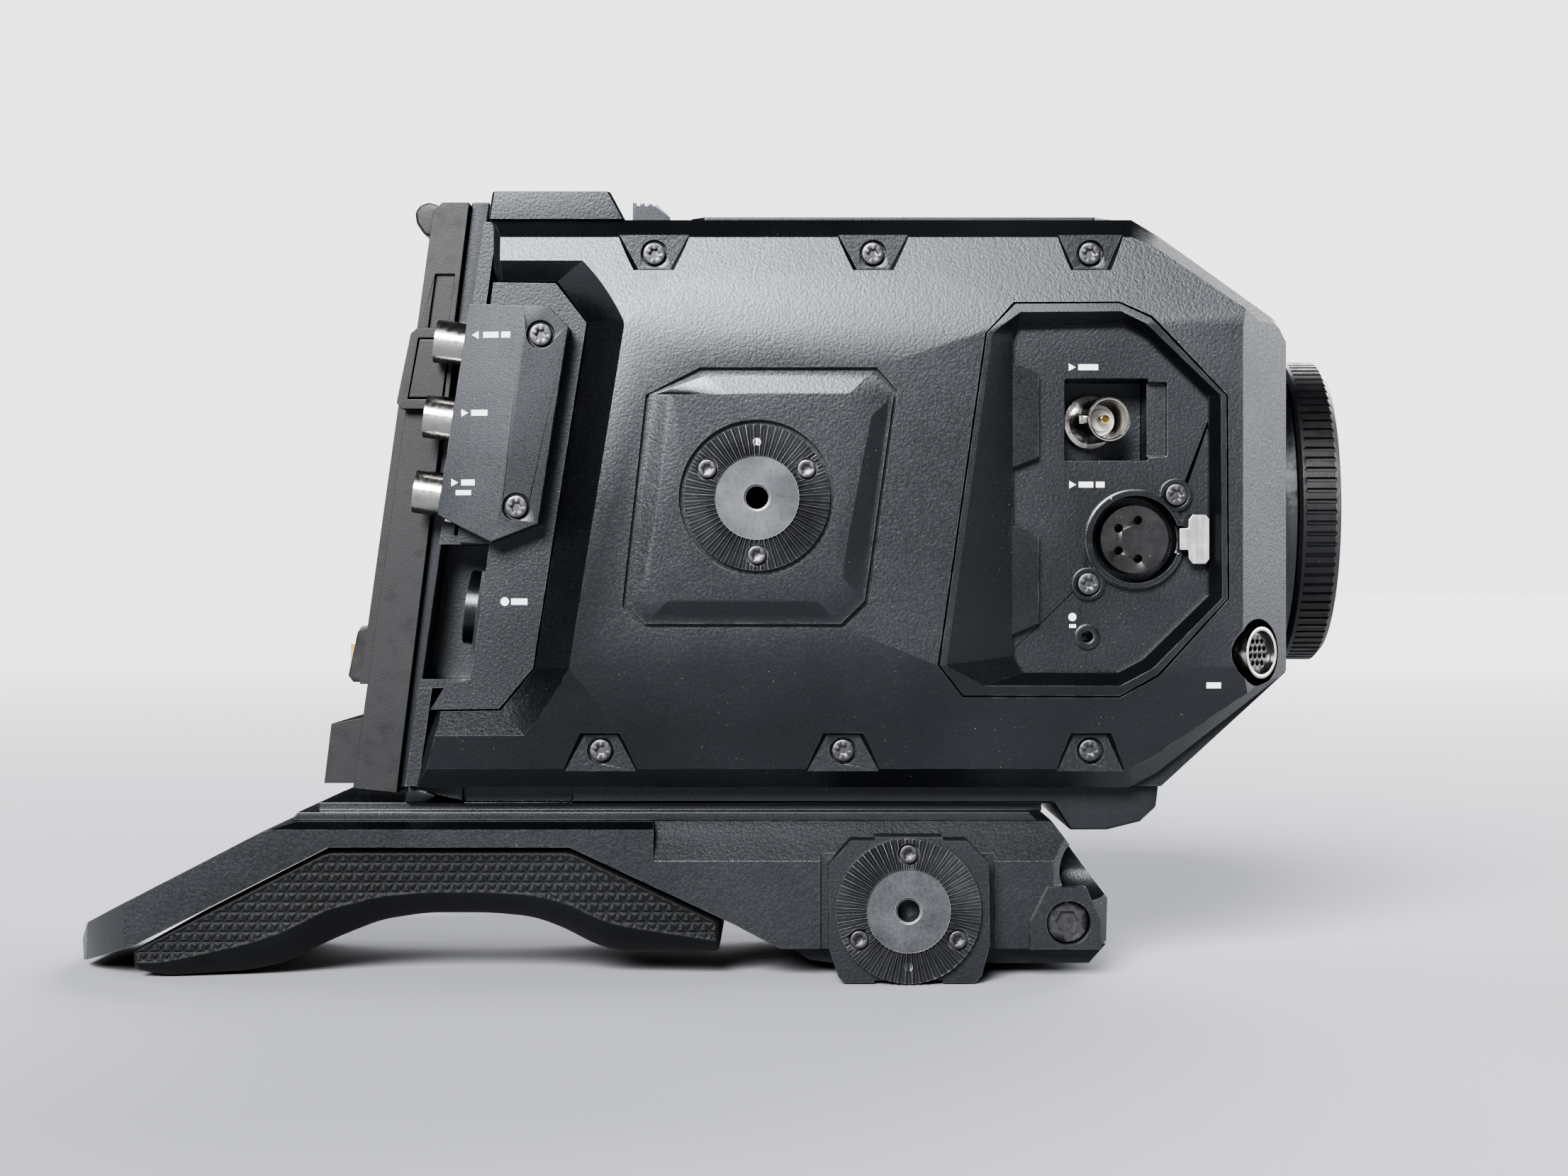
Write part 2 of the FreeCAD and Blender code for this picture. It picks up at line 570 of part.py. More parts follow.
def bnc(label, at, turn, length):
    """Bayonet video socket along its own x axis: neck, flange, barrel, bayonet lugs."""
    piece = Piece(label, at=at, turn=turn)
    radius, wall = d.bnc_radius, d.bnc_wall
    piece.plate("YZ", -0.95, 0, disc(0, 0, 2.4))
    piece.plate("YZ", 0, 1.2, disc(0, 0, radius + 1.1))
    piece.plate("YZ", 1.2, length, disc(0, 0, radius))
    piece.cut("YZ", length, length - 3, disc(0, 0, radius - wall))
    near, far = radius - 0.3, radius + 0.9
    piece.plate("YZ", length - 5.5, length - 3.7, box(-1 * far, -0.9, -1 * near, 0.9), box(near, -0.9, far, 0.9))
    # centre contact
    piece.plate("YZ", 3.0, length - 3, disc(0, 0, 1.05))
    piece.cut("YZ", length - 3, 2.0, disc(0, 0, 0.55))
    return piece


def rear_bncs():
    """Three video sockets on the slanted rear wall, made as one group."""
    piece = Piece("rear_bncs", at=(-71.06 + 0.14 * 18.3, 45.0, 18.3), turn=((0, 1, 0), 188.0))
    length, radius, wall = 10.5, d.bnc_radius, d.bnc_wall
    rows = (-16.7, 0, 16.7)
    piece.plate("YZ", 0, 1.2, *[disc(0, z, radius + 0.5) for z in rows])
    piece.plate("YZ", 1.2, length, *[disc(0, z, radius) for z in rows])
    piece.cut("YZ", length, length - 2.2, *[disc(0, z, radius - wall) for z in rows])
    lugs = []
    for z in rows:
        lugs.append(poly((-0.9, z + radius - 0.3), (0.9, z + radius - 0.3), (0.9, z + radius + 0.9),
                         (-0.9, z + radius + 0.9)))
        lugs.append(poly((-0.9, z - radius - 0.9), (0.9, z - radius - 0.9), (0.9, z - radius + 0.3),
                         (-0.9, z - radius + 0.3)))
    piece.plate("YZ", length - 9.0, length - 7.4, *lugs)
    return piece


def rear_video_pins():
    """Centre contacts of the three rear video sockets."""
    piece = Piece("rear_video_pins", at=(-71.06 + 0.14 * 18.3, 45.0, 18.3), turn=((0, 1, 0), 188.0))
    rows = (-16.7, 0, 16.7)
    piece.plate("YZ", 2.2, 8.6, *[disc(0, z, 1.05) for z in rows])
    piece.cut("YZ", 8.6, 2.0, *[disc(0, z, 0.55) for z in rows])
    return piece


def xlr_out_shell():
    piece = Piece("xlr_out_shell")
    x, z, radius, floor = d.xlr_x, d.xlr_z, d.xlr_radius, d.panel_floor
    piece.plate("XZ", floor, floor + 1.2, disc(x, z, radius))
    for sx, sz in xlr_screws():
        piece.plate("XZ", floor, floor + 1.2, disc(sx, sz, 3.6))
    piece.plate("XZ", floor + 1.2, floor + 2.4, disc(x, z, radius - 0.4))
    piece.plate("XZ", floor - 12, floor, disc(x, z, radius - 0.55))
    piece.cut("XZ", floor + 2.4, 12.5, disc(x, z, d.xlr_bore))
    for sx, sz in xlr_screws():
        piece.cut("XZ", floor + 2.4, 1.4, disc(sx, sz, 2.75))
        piece.cut("XZ", floor + 2.4, 4, disc(sx, sz, 1.3))
    piece.cut("XZ", floor + 2.4, 4.4, box(x + 8.5, z - 3.0, x + 11.5, z + 3.0))
    return piece


def xlr_out_insert():
    piece = Piece("xlr_out_insert")
    x, z, floor = d.xlr_x, d.xlr_z, d.panel_floor
    piece.plate("XZ", floor - 10.1, floor + 0.2, disc(x, z, d.xlr_insert))
    pins = [(x + 4.3 * math.cos(math.radians(a)), z + 4.3 * math.sin(math.radians(a)))
            for a in (80, 145, 215, 280)]
    piece.cut("XZ", floor + 0.2, 8, *[disc(px, pz, 0.95) for px, pz in pins])
    return piece


def xlr_out_tab():
    """Sprung metal push tab of the power output socket."""
    piece = Piece("xlr_push_tab")
    x, z, face = d.xlr_x, d.xlr_z, d.panel_floor + 3.4
    piece.plate("XZ", face, face + 0.8, box(x + 9.4, z - 2.4, x + 11.4, z + 2.4))
    piece.plate("XZ", face, face + 0.8,
                poly((x + 11.3, z - 4.2), (x + 12.2, z - 5.4), (x + 15.2, z - 5.4), (x + 16.0, z - 4.4),
                     (x + 16.0, z + 4.4), (x + 15.2, z + 5.4), (x + 12.2, z + 5.4), (x + 11.3, z + 4.2)))
    piece.plate("XZ", face - 3.1, face, box(x + 9.6, z - 2.1, x + 10.2, z + 2.1))
    return piece


def remote_jack():
    piece = Piece("remote_jack")
    x, z, floor = d.jack_x, d.jack_z, d.panel_floor
    piece.plate("XZ", floor, floor + 0.9, disc(x, z, 2.75))
    piece.plate("XZ", floor - 8, floor, disc(x, z, 2.3))
    piece.cut("XZ", floor + 0.9, 7.5, disc(x, z, 1.3))
    return piece


def lens_socket():
    """Twelve-pin lens control socket, square to the cover's front corner."""
    ring = Piece("lens_socket_ring", at=(104.3, 46.5, -32.4), turn=((0, 0, 1), 45.0))
    ring.plate("XZ", -5.4, 0.9, disc(0, 0, 5.7))
    ring.cut("XZ", 0.9, 4.6, disc(0, 0, 4.8))
    core = Piece("lens_socket_insert", at=(104.3, 46.5, -32.4), turn=((0, 0, 1), 45.0))
    core.plate("XZ", -3.7, -0.3, disc(0, 0, 4.75))
    holes = []
    for row, count in ((-2.4, 3), (-0.8, 4), (0.8, 4), (2.4, 3)):
        for i in range(count):
            holes.append(disc((i - (count - 1) / 2) * 1.7, row, 0.55))
    core.cut("XZ", -0.3, 2.5, *holes)
    return ring, core


# ---------------------------------------------------------------- right side: rear connectors
def rear_wall(z):
    return -71.0 + 0.14 * z


def rear_connector_frame():
    piece = Piece("rear_connector_frame")
    gap = d.seam
    low_wall = lambda z: d.dc_wall_x + d.rear_slope * z
    piece.plate("XZ", d.chassis_half, d.island_face,
                poly((rear_wall(49.2), 49.6 - gap), (-50.0 - gap, 49.4 - gap), (-43.2 - gap, 40.3),
                     (-55.0 - gap, -35.9), (-62.5 - gap, -45.2 + gap), (rear_line(-45.2) + 4, -45.4 + gap),
                     (rear_line(-39.0) + 7, -39.0), (low_wall(-38.5), -38.5), (low_wall(-8.5), -8.5),
                     (rear_wall(-8.5), -8.0)))
    piece.plate("XZ", d.island_face, 50.6, poly((rear_wall(41), 41), (rear_wall(41) + 3, 41),
                                                (rear_wall(-3) + 3, -3), (rear_wall(-3), -3)))
    # box behind it that holds the power socket, open to the side and the rear
    top, low, wall_top, wall_low = dc_box(0)
    back = d.chassis_half - 20
    piece.plate("XZ", back, d.chassis_half, poly((rear_line(top), top), (wall_top, top), (wall_low, low),
                                                 (rear_line(low), low)))
    top, low, wall_top, wall_low = dc_box(2)
    piece.cut("XZ", d.island_face + 1, d.island_face + 1 - back - 2,
              poly((-95, top), (wall_top, top), (wall_low, low), (-95, low)))
    return piece


MODULE = [(-68.6, 43.9), (-51.3, 43.2), (-47.0, 38.8), (-53.6, -4.2), (-63.8, -8.2), (-75.7, -2.2)]


def rear_connector_cover():
    piece = Piece("rear_connector_cover")
    piece.plate("XZ", d.island_face, d.module_face, poly(*MODULE))
    # rear part slopes away behind a crease
    face = -1 * d.module_face - 0.02
    piece.cut_loft(piece.draw("XY", 46, poly((-56.2, face), (-90, face), (-90, face + 5.4))),
                   piece.draw("XY", -12, poly((-64.2, face), (-98, face), (-98, face + 5.4))))
    # hood over the sockets, open at the rear
    piece.pocket(piece.draw("XZ", d.island_face, poly((-90, 41.6), (-61.2, 41.6), (-67.4, -3.6), (-90, -3.6))),
                 6.3, Reversed=True)
    piece.cut("XZ", d.module_face, 1.5, *[disc(x, z, 3.0) for x, z in MODULE_SCREWS])
    piece.cut("XZ", d.module_face, 12, *[disc(x, z, 1.25) for x, z in MODULE_SCREWS])
    return piece


MODULE_SCREWS = ((-53.0, 37.0), (-58.3, -0.5))


def dc_in_socket():
    """Four-pin power input, facing the rear inside its housing."""
    tilt = math.degrees(math.atan(number(d.rear_slope)))
    face = (d.dc_wall_x + d.rear_slope * d.dc_z, d.dc_depth, d.dc_z)
    shell = Piece("dc_in_socket", at=face, turn=((0, 1, 0), 180.0 + tilt))
    shell.plate("YZ", 0.05, 1.4, ring_points(0, 0, (12.0, 8.9), 8, 45))
    shell.plate("YZ", 1.4, 4.2, disc(0, 0, 8.3))
    shell.cut("YZ", 4.2, 3.4, disc(0, 0, 7.3))
    spots = [(3.6 * math.cos(math.radians(a)), 3.6 * math.sin(math.radians(a))) for a in (35, 145, 215, 325)]
    shell.plate("YZ", 0.8, 3.8, *[disc(y, z, 0.85) for y, z in spots])
    return shell


# ---------------------------------------------------------------- top
def top_taps():
    first = d.plate_rear + 14
    return [first + d.plate_pitch * i for i in range(4)]


def top_plate():
    piece = Piece("top_plate")
    half, rear, front = d.plate_half, d.plate_rear, d.plate_front
    piece.plate("XY", d.casing_top, d.plate_top,
                poly((rear, -1 * half + 3), (rear + 3, -1 * half), (front - 6, -1 * half), (front, -1 * half + 6),
                     (front, half - 6), (front - 6, half), (rear + 3, half), (rear, half - 3)))
    piece.cut("XY", d.plate_top, 4, *[disc(x, 0, d.tap_quarter) for x in top_taps()])
    slots = [box(rear + 10, y - 1.5, front - 14, y + 1.5) for y in (-18, 18)]
    piece.cut("XY", d.plate_top, 0.8, *slots)
    return piece


def audio_housing():
    """Raised rear block that carries the two microphone inputs."""
    piece = Piece("audio_housing")
    rear, front, top = d.audio_rear, d.audio_front, d.audio_top
    half = d.audio_half
    piece.plate("XZ", -1 * half, half, poly((rear - 0.2, d.casing_top), (rear + 0.8, top), (front, top),
                                            (front + 3.4, d.casing_top)))
    centre = front - 14
    piece.cut("XY", top, 8, *[disc(centre, y, 8.55) for y in (-16, 16)])
    return piece


def mic_sockets():
    """Two three-hole microphone inputs that face up: shells and cores."""
    piece = Piece("mic_sockets")
    centre, top = d.audio_front - 14, d.audio_top
    piece.plate("XY", top - 8.5, top - 1.6, *[disc(centre, y, 8.5) for y in (-16, 16)])
    piece.cut("XY", top - 1.6, 5.8, *[disc(centre, y, 7.5) for y in (-16, 16)])
    piece.plate("XY", top - 7.4, top - 2.0, *[disc(centre, y, 5.9) for y in (-16, 16)])
    holes = []
    for y in (-16, 16):
        for angle in (90, 210, 330):
            turn = math.radians(angle)
            holes.append(disc(centre + 3.3 * math.cos(turn), y + 3.3 * math.sin(turn), 0.95))
    piece.cut("XY", top - 2.0, 4, *holes)
    return piece


def mic_latch(label, y):
    """Ribbed push latch in front of a microphone input."""
    piece = Piece(label)
    rear, top = d.audio_front + 3.9, d.audio_top + 0.2
    low = d.casing_top - 1.6
    piece.plate("XZ", -y - 5.5, -y + 5.5, poly((rear, low), (rear, top), (rear + 5.5, top - 0.4),
                                               (rear + 8.6, top - 3.4), (rear + 8.8, low)))
    grooves = [box(rear + 0.9 + 1.8 * i, y - 6, rear + 1.7 + 1.8 * i, y + 6) for i in range(3)]
    piece.cut("XY", top + 0.1, 0.8, *grooves)
    return piece


def microphone_grille():
    """Textured strip on the sloping brow with the built-in microphones under it."""
    piece = Piece("microphone_grille")
    run_x, run_z = d.front_face - d.brow_x, d.brow_z - d.casing_top
    start, end = 0.36, 0.80
    lift = 0.9
    length = math.hypot(number(run_x), number(run_z))
    nx, nz = -number(run_z) / length * lift, number(run_x) / length * lift
    a = (d.brow_x + run_x * start, d.casing_top + run_z * start)
    b = (d.brow_x + run_x * end, d.casing_top + run_z * end)
    piece.plate("XZ", -20, 20, poly(a, (a[0] + nx, a[1] + nz), (b[0] + nx, b[1] + nz), b))
    return piece


# ---------------------------------------------------------------- lens mount
def lens_mount():
    piece = Piece("lens_mount")
    face, thick = d.front_face, d.mount_thick
    piece.plate("YZ", face, face + thick, disc(0, 0, d.mount_radius))
    piece.cut("YZ", face + thick, thick + 1, disc(0, 0, d.throat_radius))
    spots = mount_screw_spots()
    piece.cut("YZ", face + thick, 1.3, *[disc(y, z, 1.75) for y, z in spots])
    piece.cut("YZ", face + thick, thick + 1, *[disc(y, z, 0.95) for y, z in spots])
    return piece


def mount_screw_spots():
    return [(31.0 * math.cos(math.radians(a)), 31.0 * math.sin(math.radians(a))) for a in (0, 90, 180, 270)]


def body_cap():
    """Ribbed bayonet cap over the lens throat."""
    piece = Piece("body_cap")
    back, front, radius = d.front_face + d.mount_thick + 0.3, d.cap_front, d.cap_radius
    profile = poly((back, radius - 0.9), (back + 0.8, radius), (front - 1.6, radius), (front, radius - 1.8),
                   (front, radius - 4.2), (front - 0.9, radius - 5.0), (front - 0.9, 0), (front - 3.0, 0),
                   (front - 3.0, d.throat_radius - 3.4), (back - 6, d.throat_radius - 3.4),
                   (back - 6, d.throat_radius - 1.2), (front - 4.2, d.throat_radius - 1.2),
                   (front - 4.2, radius - 2.6), (back, radius - 2.6))
    piece.revolve(piece.draw("XZ", 0, profile))
    flute = piece.draw("YZ", front - 1.2, poly((-0.62, radius + 0.2), (0.62, radius + 0.2), (0.30, radius - 0.75),
                                               (-0.30, radius - 0.75)))
    cut = piece.pocket(flute, front - 1.2 - (back + 1.6))
    piece.round_pattern(cut, flute, d.cap_ribs)
    return piece


def lens_release_button():
    piece = Piece("lens_release_button")
    piece.plate("YZ", d.front_face - 4.4, d.front_face + 2.2, disc(31.5, -29, 3.1))
    return piece


# ---------------------------------------------------------------- insides
def insides():
    sensor = Piece("sensor_carrier")
    sensor.plate("YZ", 84, 88, box(-26, -22, 26, 22))
    sensor.cut("YZ", 88, 2.0, box(-15, -9, 15, 9))
    glass = Piece("sensor_glass")
    glass.plate("YZ", 86.05, 87.6, box(-14.9, -8.9, 14.9, 8.9))
    board = Piece("circuit_boards")
    board.plate("XZ", 18, 19.6, box(-30, -44, 70, 44))
    board.plate("XZ", 19.6, 22.5, box(0, -14, 28, 14), box(36, 8, 52, 24), box(-22, -34, -8, -20))
    sink = Piece("heat_sink")
    sink.plate("XZ", 4, 7, box(-20, -32, 50, 40))
    sink.plate("XZ", 7, 16.5, *[box(-20, -30 + 6 * i, 50, -28.6 + 6 * i) for i in range(12)])
    frame = Piece("fan_frame")
    frame.plate("XZ", -14, -4, poly((-24, -24), (24, -24), (24, 24), (-24, 24)))
    frame.cut("XZ", -4, 12, disc(0, 0, 22))
    frame.plate("XZ", -14, -12.6, box(-23, -1.5, 23, 1.5))
    frame.plate("XZ", -12.6, -5.5, disc(0, 0, 1.5))
    rotor = Piece("fan_rotor")
    rotor.plate("XZ", -11.8, -4.6, disc(0, 0, 8))
    blade_sketch = rotor.draw("XZ", -11.8, poly((7, -0.7), (20.6, 3.2), (20.6, 4.6), (7, 0.7)))
    blade = rotor.pad(blade_sketch, 7.0)
    rotor.round_pattern(blade, blade_sketch, 7)
    rotor.cut("XZ", -4.6, 8, disc(0, 0, 1.55))
    board.plate("YZ", -58, -56.4, box(-30, -4, 30, 44))
    board.plate("YZ", -56.4, -50, box(-24, 4, -8, 20), box(6, 14, 24, 34))


# ---------------------------------------------------------------- battery side
def slab_rear(z):
    return d.slab_rear + d.slab_slope * z


def slab_front(z):
    return d.slab_front + d.slab_slope * 0.9 * z


def battery_adapter():
    """Thin plate that carries the battery plate on the casing's slanted back."""
    piece = Piece("battery_adapter")
    half = d.adapter_half
    top, low = 68.4, -63.0
    piece.plate("XZ", -1 * half, half, poly((slab_front(top), top), (rear_line(top), top),
                                            (rear_line(low), low), (slab_front(low), low)))
    return piece


def battery_plate():
    piece = Piece("battery_plate")
    half, top, low = d.slab_half, d.slab_top, d.slab_bottom
    piece.plate("XZ", -1 * half, half, poly((slab_rear(top), top), (slab_rear(top) + 2, top + 2),
                                            (slab_front(top), top + 2), (slab_front(low), low),
                                            (slab_rear(low + 1), low + 1)))
    # shallow side panels
    for side in (1, -1):
        panel = piece.draw("XZ", half * side, poly((slab_rear(52) + 2.5, 52), (slab_front(52) - 1.5, 52),
                                                   (slab_front(40) - 1.5, 40), (slab_rear(40) + 2.5, 40)))
        piece.pocket(panel, 1.0, Reversed=side < 0)
    # raised wedge rails either side of the battery slot
    for side in (1, -1):
        lo, hi = (14, 26) if side > 0 else (-26, -14)
        piece.plate("XZ", lo, hi, poly((slab_rear(27) - 3.2, 27), (slab_rear(27) + 1, 27),
                                       (slab_rear(-40) + 1, -40), (slab_rear(-40) - 3.2, -40)))
    piece.plate("XZ", -26, 26, poly((slab_rear(-46) - 8.8, -49), (slab_rear(-46) + 1, -47),
                                    (slab_rear(-62) + 1, -62.5), (slab_rear(-62) - 8.2, -62.5)))
    # surround of the release button on the right-hand side
    piece.plate("XZ", half, half + 3.6, poly((slab_rear(39) - 0.8, 38.4), (slab_rear(39) + 0.6, 39.6),
                                             (slab_front(39) + 1, 39.6), (slab_front(22) + 1, 21.6),
                                             (slab_rear(22) - 0.4, 21.6), (slab_rear(22) - 1.6, 23)))
    piece.cut("XZ", half + 3.6, 3.6, poly((slab_rear(37) + 1.2, 37.4), (slab_front(37), 37.4),
                                          (slab_front(24), 23.8), (slab_rear(24) + 0.6, 23.8)))
    return piece


CONTACT_ROW = (-8, -4, 0, 4, 8)


def battery_contact_block():
    piece = Piece("battery_contact_block")
    piece.plate("XZ", -12, 12, poly((slab_rear(-27) - 7.6, -28.5), (slab_rear(-27) - 6.6, -27),
                                    (slab_rear(-27), -27), (slab_rear(-40), -40),
                                    (slab_rear(-40) - 6.8, -40), (slab_rear(-38) - 8.2, -38.5)))
    slots = [box(y - 0.9, -37, y + 0.9, -30) for y in CONTACT_ROW]
    piece.pocket(piece.draw("YZ", slab_rear(-33) - 11, *slots), 4.4, Reversed=True)
    return piece


def battery_contacts():
    piece = Piece("battery_contacts")
    reach = slab_rear(-33) - 7.6
    piece.plate("YZ", reach - 1.2, reach + 0.95, *[box(y - 0.6, -36, y + 0.6, -31) for y in CONTACT_ROW])
    return piece


def battery_release():
    """Sprung catch button on the right-hand side of the battery plate."""
    button = Piece("battery_release_button")
    half = d.slab_half
    button.plate("XZ", half + 1.3, half + 4.0, poly((slab_rear(37) + 1.5, 37.1), (slab_front(37) - 0.3, 37.1),
                                                    (slab_front(24) - 0.3, 24.1), (slab_rear(24) + 0.9, 24.1)))
    return button


def battery_lever():
    """Rounded catch lever along the top of the battery plate."""
    piece = Piece("battery_lever", at=(slab_rear(64) - 1.7, 0, 64.0))
    profile = poly((-1.9, -1.4), (-3.6, 1.2), (-3.9, 3.6), (-2.8, 5.2), (-0.8, 5.9), (1.2, 5.4), (2.4, 4.3),
                   (1.5, 2.8), (0.9, -1.2), (-0.4, -2.0))
    piece.plate("XZ", -22, 22, profile)
    return piece


# ---------------------------------------------------------------- left side
def left_side_cover():
    piece = Piece("left_side_cover")
    top, low = d.casing_top, d.casing_bottom
    rear_top, rear_low = rear_line(top) + 2, rear_line(low) + 2
    face = d.left_face
    outer = poly((rear_top, top), *cover_outer(), (rear_low, low))
    piece.plate("XZ", -1 * d.chassis_half - 3, -1 * d.chassis_half, outer)
    inner = poly((rear_top + 2, top - d.bevel), *cover_inner(), (rear_low + 3, low + d.bevel))
    piece.loft(piece.draw("XZ", -1 * d.chassis_half - 3, outer), piece.draw("XZ", -1 * face, inner))
    # hollow back and the front corner slope
    piece.cut("XZ", -1 * d.chassis_half, 5.5, poly((-60, 49), (74, 49), (99.5, 32), (99.5, -30),
                                                   (78, -47), (-70, -47)))
    corner, front = d.corner_start + 3.5, d.front_face + 1
    reach = front - corner
    piece.cut("XY", d.casing_top + 1, 130, poly((corner, face), (front, face - reach), (front + 4, face - reach),
                                                (front + 4, face + 1), (corner, face + 1)))
    # control bay behind the monitor, knob and button seats
    bay = poly((-38, 36), (54, 36), (54, -25), (-38, -25))
    piece.pocket(piece.draw("XZ", -1 * face, bay), 1.6, Reversed=True)
    card_slots = [box(-22, 12, 18, 17), box(-22, -4, 18, 1)]
    piece.pocket(piece.draw("XZ", -1 * face, *card_slots), 5, Reversed=True)
    seats = [disc(x, z, r + 0.12) for x, z, r in LEFT_CONTROLS]
    piece.pocket(piece.draw("XZ", -1 * face, *seats), 9, Reversed=True)
    switch = box(79.6, -37.4, 90.4, -30.6)
    piece.pocket(piece.draw("XZ", -1 * face, switch), 1.6, Reversed=True)
    holes = [disc(x, z, 1.3) for x, z in screw_points()]
    piece.pocket(piece.draw("XZ", -1 * face, *holes), 12, Reversed=True)
    seats = [disc(x, z, 2.6) for x, z in screw_points()]
    piece.pocket(piece.draw("XZ", -1 * face, *seats), 2.4, Reversed=True)
    # fixed hinge knuckles
    for z0, z1 in ((hinge_z(0.05), hinge_z(0.25)), (hinge_z(0.75), hinge_z(0.95))):
        piece.pad(piece.draw("XY", z0, disc(d.hinge_x, hinge_y(), d.hinge_radius)), z1 - z0)
        piece.pad(piece.draw("XY", z0, box(d.hinge_x - 2.0, face - 0.5, d.hinge_x + 3.1, hinge_y())), z1 - z0)
        piece.pocket(piece.draw("XY", z1, disc(d.hinge_x, hinge_y(), d.hinge_pin)), z1 - z0)
    return piece


LEFT_CONTROLS = ((90.0, 18.0, 6.0), (90.0, 1.0, 6.0), (86.0, -16.0, 4.6))


def hinge_y():
    return (d.monitor_inner + d.monitor_outer) / 2


def hinge_z(share):
    return d.monitor_bottom + (d.monitor_top - d.monitor_bottom) * share


def monitor():
    shell = Piece("monitor_shell")
    rear, front = d.monitor_rear, d.monitor_front
    low, high = d.monitor_bottom, d.monitor_top
    inner, outer = d.monitor_inner, d.monitor_outer
    cut = 4
    outline = poly((rear + cut, low), (front, low), (front, high), (rear + cut, high), (rear, high - cut),
                   (rear, low + cut))
    shell.plate("XZ", -1 * outer, -1 * inner, outline)
    shell.cut("XZ", -1 * inner, 1.5, box(rear + 4.9, low + 5.9, front - 5.9, high - 5.9))
    shell.pocket(shell.draw("XZ", -1 * outer, box(rear + 16, 8, rear + 58, 32)), 0.8, Reversed=True)
    seats = [disc(x, z, 2.62) for x, z in MONITOR_BUTTONS]
    shell.pocket(shell.draw("XZ", -1 * outer, *seats), 2.4, Reversed=True)
    z0, z1 = hinge_z(0.25) + 0.3, hinge_z(0.75) - 0.3
    shell.pad(shell.draw("XY", z0, disc(d.hinge_x, hinge_y(), d.hinge_radius)), z1 - z0)
    shell.pad(shell.draw("XY", z0, box(front - 1, hinge_y() - 2.4, d.hinge_x, hinge_y() + 2.4)), z1 - z0)
    shell.pocket(shell.draw("XY", z1, disc(d.hinge_x, hinge_y(), d.hinge_pin + 0.03)), z1 - z0)
    glass = Piece("monitor_glass")
    glass.plate("XZ", -1 * inner - 1.5, -1 * inner - 0.2, box(rear + 5, low + 6, front - 6, high - 6))
    glass.plate("XZ", -1 * outer + 0.05, -1 * outer + 0.8, box(rear + 16.1, 8.1, rear + 57.9, 31.9))
    pin = Piece("monitor_hinge_pin")
    pin.plate("XY", hinge_z(0.05) + 0.2, hinge_z(0.95) - 0.2, disc(d.hinge_x, hinge_y(), d.hinge_pin))
    for index, (x, z) in enumerate(MONITOR_BUTTONS, start=1):
        button = Piece(f"monitor_button_{index}")
        button.plate("XZ", -1 * outer, -1 * outer + 1.5, disc(x, z, 2.5))


MONITOR_BUTTONS = ((34.0, -12.0), (46.0, -12.0))


def left_controls():
    face = d.left_face
    for label, (x, z, radius) in zip(("audio_knob_1", "audio_knob_2"), LEFT_CONTROLS[:2]):
        knob = Piece(label, at=(x, -1 * face, z))
        knob.plate("XZ", -6.0, 2.0, disc(0, 0, radius))
        flute = knob.draw("XZ", -6.0, poly((radius + 0.2, -0.45), (radius + 0.2, 0.45), (radius - 0.55, 0.2),
                                           (radius - 0.55, -0.2)))
        cut = knob.pocket(flute, 5.0, Reversed=True)
        knob.round_pattern(cut, flute, 24)
        knob.pocket(knob.draw("XZ", -6.0, box(-0.4, 1.5, 0.4, radius - 0.9)), 0.5, Reversed=True)
    x, z, radius = LEFT_CONTROLS[2]
    button = Piece("record_button", at=(x, -1 * face, z))
    button.plate("XZ", -2.6, 1.2, disc(0, 0, radius))
    button.pocket(button.draw("XZ", -2.6, disc(0, 0, radius - 1.1)), 0.3, Reversed=True)
    switch = Piece("power_switch")
    switch.plate("XZ", -1 * face - 2.4, -1 * face + 1.3, box(80.0, -37.0, 85.6, -31.0))


# ---------------------------------------------------------------- base and shoulder mount
def camera_foot():
    piece = Piece("camera_foot")
    low = d.camera_foot
    front = d.chin_x
    piece.plate("XZ", -34, 34, poly((rear_line(-62.4), d.casing_bottom), (front, d.casing_bottom),
                                    (front - 0.6, low - 0.8), (front - 4.2, low - 4.1), (front - 11.5, low - 5.9),
                                    (front - 19.8, low - 5.9), (front - 23.5, low), (rear_line(-66.5), low)))
    piece.cut("XZ", 34, 2.0, box(-72, -66.0, -47.5, -62.9))
    slots = [box(-34 + 7 * i, -20, -30 + 7 * i, 20) for i in range(6)]
    piece.pocket(piece.draw("XY", low, *slots), 6, Reversed=True)
    return piece


def foot_plates():
    """Two stacked plates between the camera and the shoulder base."""
    piece = Piece("mounting_plates")
    middle = d.camera_foot - 1.9
    piece.plate("XZ", -31, 31, box(-104.8, middle, 58, d.camera_foot))
    piece.plate("XZ", -34, 34, poly((-110.6, d.base_top), (-109.0, middle), (55, middle), (57, d.base_top)))
    return piece


